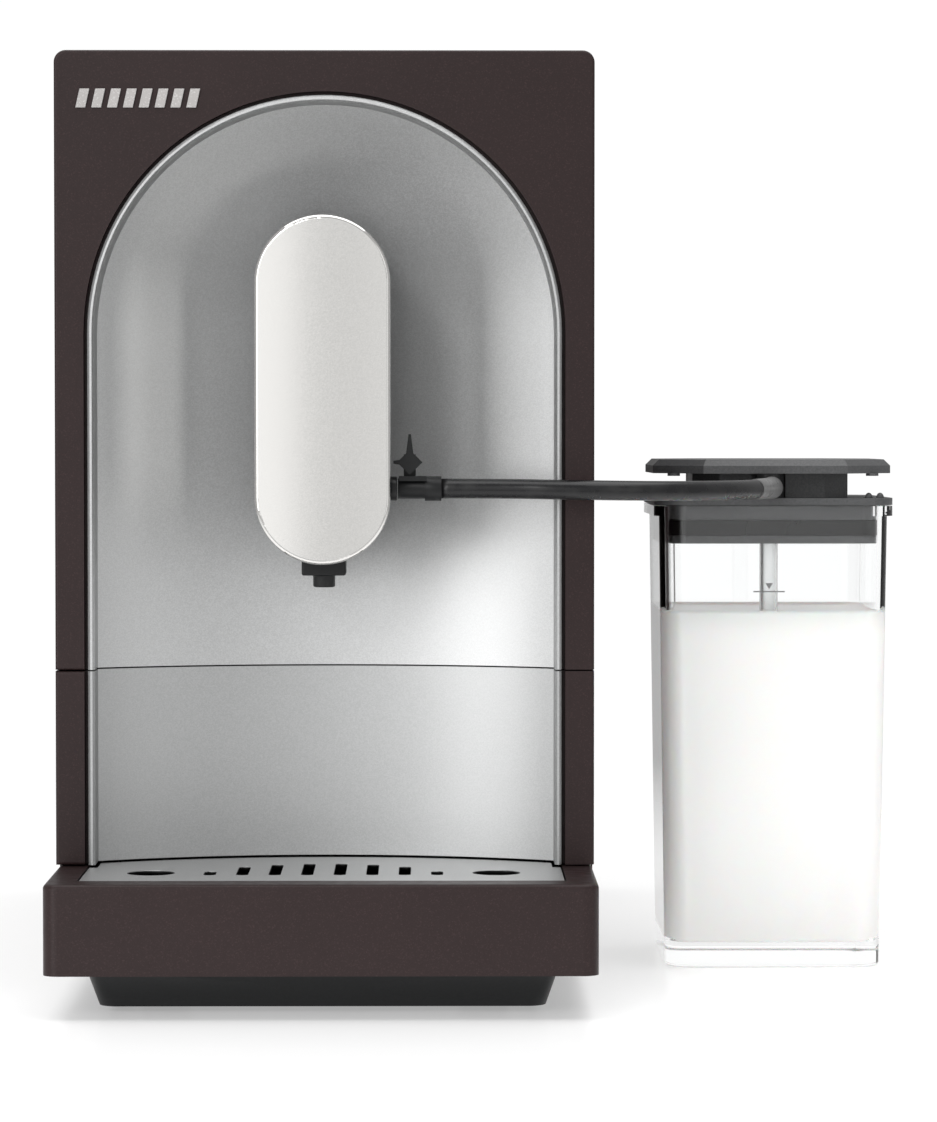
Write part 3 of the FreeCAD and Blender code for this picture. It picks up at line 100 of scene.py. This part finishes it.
class Finish:
    """A procedural material on one Principled shader."""

    def __init__(self, name, color, roughness, metallic=0.0, **uniform):
        self.material = bpy.data.materials.new(name)
        self.material.use_nodes = True
        self.tree = self.material.node_tree
        self.shader = self.tree.nodes["Principled BSDF"]
        self.shader.inputs["Base Color"].default_value = (*color, 1.0)
        self.shader.inputs["Roughness"].default_value = roughness
        self.shader.inputs["Metallic"].default_value = metallic
        for word, value in uniform.items():
            socket = word.replace("_", " ").title().replace("Ior", "IOR")
            self.shader.inputs[socket].default_value = value
        self.place = self.coordinates("Object")

    def node(self, kind, settings, sockets, output=0):
        """Adds a node: its settings first, then the value or link of each socket."""
        node = self.tree.nodes.new(kind)
        for name, setting in settings.items():
            setattr(node, name, setting)
        for name, value in sockets.items():
            if isinstance(value, Value):
                self.tree.links.new(value.socket, node.inputs[name])
            else:
                node.inputs[name].default_value = value
        return Value(self, node.outputs[output])

    def coordinates(self, kind):
        return self.node("ShaderNodeTexCoord", {}, {}, kind)

    def noise(self, grain, detail=2.0, at=None, roughness=0.5):
        """Smooth noise whose grain is a size in metres."""
        return self.node("ShaderNodeTexNoise", {}, {
            "Vector": at or self.place, "Scale": 1.0 / grain, "Detail": detail, "Roughness": roughness})

    def specks(self, grain):
        """One random level for each small cell."""
        cell = self.node("ShaderNodeTexVoronoi", {}, {"Vector": self.place, "Scale": 1.0 / grain}, "Color")
        return self.node("ShaderNodeSeparateColor", {}, {"Color": cell})

    def stretched(self, x, y, z):
        return self.node("ShaderNodeVectorMath", {"operation": "MULTIPLY"}, {0: self.place, 1: (x, y, z)})

    def part(self, vector, axis):
        return self.node("ShaderNodeSeparateXYZ", {}, {"Vector": vector}, axis)

    def mix(self, amount, first, second):
        sockets = {"Factor": amount}
        for slot, value in ((6, first), (7, second)):
            sockets[slot] = value if isinstance(value, Value) else (*value, 1.0)
        return self.node("ShaderNodeMix", {"data_type": "RGBA"}, sockets, 2)

    def paint(self, color, roughness=None):
        self.tree.links.new(color.socket, self.shader.inputs["Base Color"])
        if roughness is not None:
            self.tree.links.new(roughness.socket, self.shader.inputs["Roughness"])

    def relief(self, height, depth):
        """Small surface relief, its depth in metres."""
        bump = self.node("ShaderNodeBump", {}, {
            "Height": height, "Distance": depth, "Strength": 1.0}, "Normal")
        self.tree.links.new(bump.socket, self.shader.inputs["Normal"])


def shade(color, factor):
    return tuple(min(1.0, channel * factor) for channel in color)


# ---------------------------------------------------------------- finishes
def lacquer(name, color, sparkle, roughness):
    """Metallic lacquer on a moulding: fine flakes, slow cloudiness and a faint orange peel."""
    finish = Finish(name, color, roughness, specular_ior_level=0.22, coat_weight=0.03, coat_roughness=0.2)
    flakes = finish.specks(0.00035) ** 8.0
    cloud = finish.noise(0.05, 3.0)
    base = finish.mix(cloud.span(0.3, 0.7), shade(color, 0.92), shade(color, 1.08))
    finish.paint(color=finish.mix(flakes * sparkle, base, shade(color, 3.2)),
                 roughness=finish.noise(0.004, 3.0).span(0.3, 0.7, roughness - 0.04, roughness + 0.05))
    finish.relief(finish.noise(0.0012), 4e-6)
    return finish.material


def moulded(name, color, roughness, grain=0.0009, depth=1.2e-5):
    """Moulded plastic with a fine spark-eroded texture and handling marks."""
    finish = Finish(name, color, roughness, specular_ior_level=0.35)
    texture = finish.noise(grain, 3.0, roughness=0.65)
    marks = finish.noise(0.03, 4.0, finish.stretched(1.0, 1.0, 0.35))
    finish.paint(color=finish.mix(texture.span(0.35, 0.65), shade(color, 0.85), shade(color, 1.2)),
                 roughness=marks.span(0.35, 0.7, roughness - 0.05, roughness + 0.08))
    finish.relief(texture, depth)
    return finish.material


def satin_silver(name, color=(0.57, 0.575, 0.575), shade_hole_walls=False):
    """Silver lacquer: a sparkle grain over a broad soft sheen. The walls of punched holes can be painted
    near black, as painted shade inside the holes.
    """
    finish = Finish(name, color, 0.40, 0.85)
    grain = finish.specks(0.00032)
    fine = finish.noise(0.0005)
    cloud = finish.noise(0.06)
    tone = (grain * 0.6 + fine * 0.4).span(0.25, 0.8)
    base = finish.mix(tone, shade(color, 0.91), shade(color, 1.09))
    skin = finish.mix(cloud.span(0.3, 0.7, 0.0, 0.2), base, shade(color, 1.08))
    # Painted shade: faces that do not face upward, the walls inside the holes, are painted near black.
    if shade_hole_walls:
        upward = finish.part(finish.coordinates("Normal"), "Z")
        skin = finish.mix(upward.span(0.2, 0.8), (0.012, 0.012, 0.012), skin)
    finish.paint(color=skin, roughness=tone.span(0.0, 1.0, 0.37, 0.45))
    finish.relief(fine, 2e-6)
    return finish.material


def gloss_silver():
    """Bright silver lacquer under a thin clear coat."""
    color = (0.74, 0.73, 0.71)
    finish = Finish("gloss_silver", color, 0.07, 0.92, coat_weight=0.3, coat_roughness=0.05)
    flakes = finish.specks(0.00028)
    finish.paint(color=finish.mix(flakes, shade(color, 0.97), shade(color, 1.03)),
                 roughness=flakes.span(0.0, 1.0, 0.06, 0.085))
    return finish.material


def dark_chrome():
    """Smoked chrome with faint smears."""
    finish = Finish("dark_chrome", (0.12, 0.12, 0.125), 0.08, 1.0)
    smears = finish.noise(0.012, 3.0)
    finish.paint(roughness=smears.span(0.3, 0.75, 0.05, 0.14),
                 color=finish.mix(smears, (0.10, 0.10, 0.105), (0.14, 0.14, 0.14)))
    return finish.material


def brushed_steel():
    """Steel brushed along one direction."""
    color = (0.56, 0.56, 0.57)
    finish = Finish("brushed_steel", color, 0.35, 1.0)
    brush = finish.noise(0.0012, 3.0, finish.stretched(0.03, 1.0, 1.0))
    finish.paint(color=finish.mix(brush.span(0.3, 0.7), shade(color, 0.85), shade(color, 1.15)),
                 roughness=brush.span(0.3, 0.7, 0.28, 0.42))
    finish.relief(brush, 5e-6)
    return finish.material


def cast_metal():
    """Rough cast aluminium."""
    color = (0.52, 0.52, 0.53)
    finish = Finish("cast_metal", color, 0.5, 1.0)
    skin = finish.noise(0.0016, 4.0, roughness=0.7)
    finish.paint(color=finish.mix(skin.span(0.3, 0.7), shade(color, 0.8), shade(color, 1.1)),
                 roughness=skin.span(0.3, 0.7, 0.42, 0.6))
    finish.relief(skin, 3e-5)
    return finish.material


def circuit_board():
    """Solder mask with a print of tracks."""
    finish = Finish("circuit_board", (0.03, 0.16, 0.07), 0.35)
    tracks = finish.node("ShaderNodeTexBrick", {"offset": 0.5}, {
        "Vector": finish.place, "Scale": 160.0, "Mortar Size": 0.012,
        "Color1": (0.025, 0.13, 0.055, 1.0), "Color2": (0.03, 0.17, 0.075, 1.0),
        "Mortar": (0.09, 0.33, 0.16, 1.0)}, "Color")
    finish.paint(color=tracks, roughness=finish.noise(0.004).span(0.3, 0.7, 0.3, 0.45))
    return finish.material


def clear(name, tint, roughness, ior=1.49):
    """Clear moulding with faint flow marks."""
    finish = Finish(name, tint, roughness, transmission_weight=1.0, ior=ior)
    marks = finish.noise(0.02)
    finish.paint(roughness=marks.span(0.35, 0.7, max(0.0, roughness - 0.01), roughness + 0.015),
                 color=finish.mix(marks, tint, shade(tint, 0.985)))
    return finish.material


def milk():
    """Milk with a slightly greyer layer of froth at its top, and a faint glow that is painted light."""
    # Painted light: the milk glows faintly in its own colour, in place of the lamps' light that the clear
    # container blocks.
    finish = Finish("milk", (0.95, 0.945, 0.93), 0.32, subsurface_weight=0.3, subsurface_scale=0.01,
                    emission_color=(0.95, 0.945, 0.93, 1.0), emission_strength=0.2)
    height = finish.part(finish.place, "Z")
    froth = finish.noise(0.0016, 3.0)
    film = height.span(MILK_LEVEL - 8.0 * MM, MILK_LEVEL - 0.5 * MM)
    body = finish.mix(finish.noise(0.03).span(0.3, 0.7), (0.94, 0.935, 0.92), (0.965, 0.96, 0.945))
    finish.paint(color=finish.mix(film * froth.span(0.3, 0.7, 0.5, 1.0), body, (0.80, 0.80, 0.77)),
                 roughness=froth.span(0.3, 0.7, 0.28, 0.4))
    finish.relief(froth * film, 6e-5)
    return finish.material


def hose_rubber():
    """Smooth silicone rubber with a dusty bloom."""
    finish = Finish("hose_rubber", (0.010, 0.010, 0.011), 0.27, specular_ior_level=0.4)
    bloom = finish.noise(0.006, 4.0)
    finish.paint(color=finish.mix(bloom.span(0.45, 0.8), (0.008, 0.008, 0.009), (0.022, 0.022, 0.022)),
                 roughness=bloom.span(0.3, 0.75, 0.22, 0.36))
    finish.relief(finish.noise(0.0007), 4e-6)
    return finish.material


BROWN = lacquer("brown_lacquer", (0.0245, 0.0140, 0.0140), 0.3, 0.42)
KEY_SILVER = lacquer("key_silver", (0.5, 0.49, 0.47), 0.3, 0.3)
EMBLEM_SILVER = lacquer("emblem_silver", (0.46, 0.44, 0.43), 0.3, 0.4)
BLACK = moulded("black_moulding", (0.006, 0.0065, 0.007), 0.4)
SEAL = moulded("seal_rubber", (0.004, 0.004, 0.004), 0.3, 0.0014, 5e-6)
RUBBER = moulded("soft_rubber", (0.018, 0.018, 0.018), 0.62, 0.0014, 2e-5)
WHITE = moulded("white_moulding", (0.74, 0.74, 0.72), 0.4)
LID_GREY = moulded("lid_moulding", (0.082, 0.083, 0.085), 0.36, 0.0007, 5e-6)
SLEEVE_GREY = moulded("sleeve_moulding", (0.16, 0.16, 0.16), 0.3, 0.0008, 4e-6)
SILVER = satin_silver("satin_silver")
# A darker copy of the satin silver for the lower niche panel: painted shade, where less light falls than on
# the upper panel.
SHADED_LOWER_SILVER = satin_silver("shaded_lower_satin_silver", (0.47, 0.475, 0.475))
PUNCHED_SILVER = satin_silver("punched_silver", shade_hole_walls=True)
PILL_SILVER = gloss_silver()
DARK_CHROME = dark_chrome()
STEEL = brushed_steel()
CAST = cast_metal()
BOARD = circuit_board()
GLASS = clear("clear_container", (0.985, 0.99, 0.99), 0.0, 1.36)
TUBE_CLEAR = clear("frosted_tube", (0.93, 0.94, 0.94), 0.22)
SMOKED = clear("smoked_container", (0.42, 0.44, 0.46), 0.03)
HOSE = hose_rubber()
PRINT = moulded("grey_print", (0.22, 0.22, 0.22), 0.5, 0.0006, 2e-6)
MILK = milk()

NODE_FINISH = {
    "front_frame": BROWN, "bin_front": BROWN, "drip_bezel": BROWN, "left_side_panel": BROWN,
    "right_side_panel": BROWN, "top_cover": BROWN, "rear_cover": BROWN, "pod_lever": BROWN,
    "base_housing": BLACK, "drawer_rails": BLACK, "drip_tray": BLACK, "pod_bin": BLACK,
    "spout_carriage": BLACK, "coffee_nozzle": BLACK, "milk_port": BLACK, "hose_connector": BLACK,
    "froth_knob": BLACK, "tank_dock": BLACK, "power_inlet": BLACK, "power_switch": BLACK,
    "spout_guide": BLACK, "pod_chute": BLACK, "brew_unit_body": BLACK, "milk_frother": BLACK,
    "button_bezel": BLACK, "chassis": BLACK, "rubber_feet": RUBBER, "pump_mounts": RUBBER,
    "lid_seal": SEAL, "piston_seal": RUBBER, "water_hoses": RUBBER, "wiring": RUBBER,
    "niche_panel": SILVER, "lower_niche_panel": SHADED_LOWER_SILVER, "drip_grille": PUNCHED_SILVER,
    "spout_cover": PILL_SILVER, "spout_trim": DARK_CHROME, "nameplate": EMBLEM_SILVER,
    "housing_screws": STEEL, "lever_pin": STEEL, "needle_plate": STEEL, "pump": STEEL,
    "steam_valve": STEEL, "thermoblock": CAST, "brew_piston": WHITE, "flow_meter": WHITE,
    "tank_valve": WHITE, "control_boards": BOARD, "espresso_button": KEY_SILVER,
    "long_coffee_button": KEY_SILVER, "milk_coffee_button": KEY_SILVER, "rinse_button": KEY_SILVER,
    "milk_jug": GLASS, "intake_tube": TUBE_CLEAR, "water_tank": SMOKED, "tank_lid": SMOKED,
    "lid_base": LID_GREY, "lid_top": LID_GREY, "hose_elbow": LID_GREY,
}
# How far each node's sharp edges are rounded, in millimetres.
EDGE = {"base_housing": 0.8, "left_side_panel": 0.3, "right_side_panel": 0.3, "nameplate": 0.25,
        "drip_grille": 0.25, "spout_carriage": 0.5, "coffee_nozzle": 0.6, "hose_connector": 0.3,
        "froth_knob": 0.35, "lid_base": 0.35, "lid_top": 0.25, "tank_lid": 0.4, "button_bezel": 0.3,
        "power_inlet": 0.4, "power_switch": 0.4, "top_cover": 0.35,
        "housing_screws": 0.2, "rubber_feet": 0.6, "milk_port": 0.3, "pod_bin": 0.4, "drip_tray": 0.4}


def finish_nodes():
    for name, material in NODE_FINISH.items():
        piece = NODES[name]
        piece.data.materials.clear()
        piece.data.materials.append(material)
        if name in EDGE:
            weld = piece.modifiers.new("weld", "WELD")
            weld.merge_threshold = 0.001 * MM
            bevel = piece.modifiers.new("round_edges", "BEVEL")
            bevel.width, bevel.segments = EDGE[name] * MM, 2
            bevel.limit_method, bevel.angle_limit = "ANGLE", math.radians(40)
            bevel.harden_normals = True


finish_nodes()


# ---------------------------------------------------------------- making pieces
def add_piece(name, mesh, material, body, smooth=True):
    piece = bpy.data.objects.new(name, mesh)
    bpy.context.scene.collection.objects.link(piece)
    mesh.materials.append(material)
    for face in mesh.polygons:
        face.use_smooth = smooth
    if body:
        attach(piece, body)
    return piece


def closed_mesh(name, mesh):
    """Turns an edited mesh into mesh data, with its faces outward."""
    bmesh.ops.recalc_face_normals(mesh, faces=mesh.faces)
    data = bpy.data.meshes.new(name)
    mesh.to_mesh(data)
    mesh.free()
    return data


def loft(name, rings):
    """A closed skin through rings that have the same number of points."""
    mesh = bmesh.new()
    rows = [[mesh.verts.new(point) for point in ring] for ring in rings]
    count = len(rings[0])
    for low, high in zip(rows, rows[1:]):
        for i in range(count):
            j = (i + 1) % count
            mesh.faces.new((low[i], low[j], high[j], high[i]))
    mesh.faces.new(rows[0][::-1])
    mesh.faces.new(rows[-1])
    return closed_mesh(name, mesh)


def plates(name, outlines, thickness, rounding):
    """Flat pieces with softened edges, each an outline and its thickness as a vector."""
    mesh = bmesh.new()
    for outline in outlines:
        face = mesh.faces.new([mesh.verts.new(point) for point in outline])
        moved = bmesh.ops.extrude_face_region(mesh, geom=[face])
        tops = [item for item in moved["geom"] if isinstance(item, bmesh.types.BMVert)]
        bmesh.ops.translate(mesh, vec=thickness, verts=tops)
    bmesh.ops.bevel(mesh, geom=mesh.edges[:], offset=rounding, segments=2, affect="EDGES", profile=0.5)
    return closed_mesh(name, mesh)


def dome(name, centre, radius, height, material, body, rings=6, sides=20):
    """A low button with a rounded top, which ends in a small flat."""
    rows, last_angle = [], 0.48 * math.pi
    for ring in range(rings + 1):
        angle = ring / rings * last_angle
        reach, z = radius * math.cos(angle), centre[2] + height * math.sin(angle)
        rows.append([(centre[0] + reach * math.cos(t), centre[1] + reach * math.sin(t), z)
                     for t in (2 * math.pi * k / sides for k in range(sides))])
    return add_piece(name, loft(name, rows), material, body)


def rounded_square(centre, half, corner, z, steps=8):
    """A ring of points round a square with round corners, at one height."""
    points = []
    for quarter in range(4):
        turn = quarter * math.pi / 2
        across, up = math.cos(turn + math.pi / 4), math.sin(turn + math.pi / 4)
        corner_x = centre.x + math.copysign(half - corner, across)
        corner_y = centre.y + math.copysign(half - corner, up)
        for step in range(steps + 1):
            angle = turn + step / steps * math.pi / 2
            points.append((corner_x + corner * math.cos(angle), corner_y + corner * math.sin(angle), z))
    return points


def middle(low, high):
    return (Vector(low) + Vector(high)) / 2


# ---------------------------------------------------------------- milk hose
# The route's points, in metres, the same as the solid's.
HOSE_ROUTE = [(0.0389, -0.175, 0.1699), (0.059, -0.175, 0.1699), (0.081, -0.1784, 0.1695),
              (0.104, -0.173, 0.1691), (0.124, -0.1595, 0.1689), (0.1405, -0.1415, 0.1689),
              (0.1515, -0.1215, 0.1692), (0.1547, -0.1055, 0.1692), (0.1547, -0.0964, 0.1692)]
HOSE_RADIUS = 0.0033
# The sleeve over the hose's last part: the share of the points before it, and its radii.
SLEEVE_START = 0.72
SLEEVE_RADIUS, SLEEVE_FLARE = 3.5 * MM, 0.5 * MM


def smooth_line(name, route):
    """The points of one smooth curve that the route's points steer."""
    curve = bpy.data.curves.new(name, "CURVE")
    curve.dimensions = "3D"
    spline = curve.splines.new("NURBS")
    spline.points.add(len(route) - 1)
    for point, place in zip(spline.points, route):
        point.co = (*place, 1.0)
    spline.order_u, spline.use_endpoint_u = 3, True
    spline.resolution_u = 14
    holder = bpy.data.objects.new(name, curve)
    line = bpy.data.meshes.new_from_object(holder)
    points = [vertex.co.copy() for vertex in line.vertices]
    bpy.data.objects.remove(holder)
    bpy.data.curves.remove(curve)
    bpy.data.meshes.remove(line)
    return points


def tube_rings(points, radius_at, sides=20):
    """Rings along a line. radius_at takes the share of the length that lies behind."""
    lengths = [0.0]
    for here, there in zip(points, points[1:]):
        lengths.append(lengths[-1] + (there - here).length)
    rings = []
    for i, point in enumerate(points):
        along = (points[min(i + 1, len(points) - 1)] - points[max(i - 1, 0)]).normalized()
        across = along.cross(Vector((0, 0, 1))).normalized()
        up = across.cross(along)
        radius = radius_at(lengths[i] / lengths[-1])
        rings.append([point + radius * (math.cos(a) * across + math.sin(a) * up)
                      for a in (2 * math.pi * k / sides for k in range(sides))])
    return rings


def make_hose():
    points = smooth_line("hose_line", HOSE_ROUTE)
    tube = loft("milk_hose_tube", tube_rings(points, lambda share: HOSE_RADIUS))
    hose = add_piece("milk_hose_tube", tube, HOSE, None)
    tail = points[int(len(points) * SLEEVE_START):]
    sleeve = loft("hose_sleeve", tube_rings(tail, lambda share: SLEEVE_RADIUS + SLEEVE_FLARE * share, 24))
    add_piece("hose_sleeve", sleeve, SLEEVE_GREY, "jug_lid")
    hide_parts("milk_hose")
    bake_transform(hose)


make_hose()


# ---------------------------------------------------------------- milk and jug details
# The container's half width at its bottom and at its shoulder, and the shoulder's height.
JUG_BOTTOM, JUG_TOP, JUG_SHOULDER = 37.9 * MM, 40.2 * MM, 159.2 * MM
# How thick its wall and its floor are.
JUG_WALL, JUG_FLOOR = 3.0 * MM, 9.0 * MM


def jug_half(z):
    """The container's outer half width at a height."""
    return JUG_BOTTOM + (JUG_TOP - JUG_BOTTOM) * z / JUG_SHOULDER


def make_milk():
    """The milk reaches a little into the wall, and its top is hollowed by a low meniscus."""
    centre, sunk, corner = middle(*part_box("milk_jug")), 0.5 * MM, 5.6 * MM
    steps = [(JUG_FLOOR - 0.3 * MM, 2.0 * MM), (JUG_FLOOR + 1.2 * MM, 0.3 * MM), (50 * MM, 0.0),
             (100 * MM, 0.0), (MILK_LEVEL - 1.2 * MM, 0.0), (MILK_LEVEL, 0.0),
             (MILK_LEVEL - 0.9 * MM, 1.6 * MM), (MILK_LEVEL - 1.2 * MM, 6.0 * MM)]
    rings = [rounded_square(centre, jug_half(z) - JUG_WALL + sunk - inset, corner, z) for z, inset in steps]
    add_piece("milk_fill", loft("milk_fill", rings), MILK, "jug")


make_milk()


def make_level_mark():
    """A filling line with a pointer over it, printed on the container's front."""
    height, thick, aside, softened = 132.5 * MM, 0.12 * MM, 2 * MM, 0.02 * MM
    jug = middle(*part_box("milk_jug"))
    face, centre = jug.y - jug_half(height), jug.x - aside
    line = [(-5.5, 0), (5.5, 0), (5.5, 0.45), (-5.5, 0.45)]
    pointer = [(0, 1.1), (1.3, 3.2), (-1.3, 3.2)]
    shapes = [[(centre + across * MM, face, height + up * MM) for across, up in outline]
              for outline in (line, pointer)]
    mark = plates("level_mark", shapes, Vector((0, -thick, 0)), softened)
    add_piece("level_mark", mark, PRINT, "jug", False)


def make_emblem():
    """A row of slanted bars in place of lettering, on the plate's own ground."""
    low, high = (Vector(corner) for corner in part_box("nameplate"))
    count, slant, bar_share, softened = 8, 1.4 * MM, 0.62, 0.15 * MM
    pitch = (high.x - low.x - slant) / count
    bar, outlines = pitch * bar_share, []
    for i in range(count):
        x = low.x + i * pitch
        outlines.append([(x, high.y, low.z), (x + bar, high.y, low.z), (x + bar + slant, high.y, high.z),
                         (x + slant, high.y, high.z)])
    bars = plates("emblem_bars", outlines, Vector((0, low.y - high.y, 0)), softened)
    emblem = add_piece("emblem_bars", bars, EMBLEM_SILVER, "housing", False)
    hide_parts("nameplate")


def make_lid_studs():
    """Two small studs on the lid's step, near its edge."""
    low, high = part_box("lid_base")
    back, step, radius, height = low[1] + 11 * MM, high[2] - 8.7 * MM, 1.4 * MM, 1.9 * MM
    for number, inset in enumerate((4.2, 8.2), 1):
        place = (high[0] - inset * MM, back, step)
        dome(f"lid_stud_{number}", place, radius, height, LID_GREY, "jug_lid")


def make_key_dots():
    """One to four dots tell the keys apart."""
    ring, sunk, radius, height = 2.2 * MM, 0.05 * MM, 0.8 * MM, 0.3 * MM
    for number, key in enumerate(("espresso", "long_coffee", "milk_coffee", "rinse"), 1):
        low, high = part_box(key + "_button")
        centre, reach = middle(low, high), 0.0 if number == 1 else ring
        for i in range(number):
            turn = 2 * math.pi * i / number
            place = (centre.x + reach * math.sin(turn), centre.y + reach * math.cos(turn), high[2] - sunk)
            dome(f"{key}_dot_{i + 1}", place, radius, height, PRINT, f"key_{number}", 3, 12)


make_level_mark()
make_emblem()
make_lid_studs()
make_key_dots()


# ---------------------------------------------------------------- stage and light
def make_stage():
    """A pale sheet of paper that fades into the white room."""
    reach, depth = 2.4, -0.0006
    mesh = bpy.data.meshes.new("floor")
    mesh.from_pydata([(-reach, -reach, depth), (reach, -reach, depth), (reach, reach, depth),
                      (-reach, reach, depth)], [], [(0, 1, 2, 3)])
    floor = bpy.data.objects.new("floor", mesh)
    bpy.context.scene.collection.objects.link(floor)
    paper = Finish("pale_paper", (0.95, 0.95, 0.95), 0.2, emission_color=(1.0, 1.0, 1.0, 1.0),
                   emission_strength=0.34)
    tone = paper.noise(0.4)
    distance = paper.node("ShaderNodeVectorMath", {"operation": "LENGTH"}, {0: paper.place}, "Value")
    fade = distance.span(0.28, 0.8, 1.0, 0.0)
    paper.paint(color=paper.mix(tone, (0.94, 0.94, 0.94), (0.96, 0.96, 0.96)))
    paper.tree.links.new(fade.socket, paper.shader.inputs["Alpha"])
    mesh.materials.append(paper.material)


def soft_light(name, place, target, width, height, radiance):
    """A plain panel whose brightness is given, whatever its size."""
    data = bpy.data.lights.new(name, "AREA")
    data.shape, data.size, data.size_y = "RECTANGLE", width, height
    data.energy = radiance * math.pi * width * height
    lamp = bpy.data.objects.new(name, data)
    lamp.location = place
    lamp.rotation_euler = (Vector(target) - Vector(place)).to_track_quat("-Z", "Y").to_euler()
    bpy.context.scene.collection.objects.link(lamp)


def light_room():
    """White to look at, a grey room for what the object reflects, and plain soft panels."""
    world = bpy.data.worlds.new("studio")
    bpy.context.scene.world = world
    world.use_nodes = True
    tree = world.node_tree
    room = tree.nodes["Background"]
    room.inputs["Color"].default_value = (0.50, 0.50, 0.50, 1.0)
    room.inputs["Strength"].default_value = 1.0
    white = tree.nodes.new("ShaderNodeBackground")
    white.inputs["Color"].default_value = (1.0, 1.0, 1.0, 1.0)
    white.inputs["Strength"].default_value = 1.02
    path, seen, mix = (tree.nodes.new(kind) for kind in
                       ("ShaderNodeLightPath", "ShaderNodeMath", "ShaderNodeMixShader"))
    seen.operation = "MAXIMUM"
    tree.links.new(path.outputs["Is Camera Ray"], seen.inputs[0])
    tree.links.new(path.outputs["Is Transmission Ray"], seen.inputs[1])
    tree.links.new(seen.outputs[0], mix.inputs["Fac"])
    tree.links.new(room.outputs[0], mix.inputs[1])
    tree.links.new(white.outputs[0], mix.inputs[2])
    tree.links.new(mix.outputs[0], tree.nodes["World Output"].inputs["Surface"])
    machine = (0.0, -0.1, 0.16)
    soft_light("band_panel", (-0.65, -3.0, 0.6), (-0.65, 0.0, 0.6), 1.1, 1.9, 0.74)
    soft_light("front_panel", (-0.065, -3.0, 0.6), (-0.065, 0.0, 0.6), 0.07, 1.9, 0.26)
    soft_light("right_panel", (0.52, -3.0, 0.6), (0.52, 0.0, 0.6), 1.1, 1.9, 0.37)
    soft_light("side_left", (-1.45, -1.95, 0.5), machine, 0.8, 1.7, 3.4)
    soft_light("side_right", (1.5, -1.8, 0.5), machine, 0.6, 1.7, 0.7)
    soft_light("overhead", (0.05, -0.15, 1.5), (0.05, -0.15, 0.0), 1.8, 1.5, 2.1)
    soft_light("key", (-0.62, -1.9, 1.0), machine, 0.35, 0.45, 9.0)


make_stage()
light_room()
bpy.context.scene.view_settings.view_transform = "Standard"
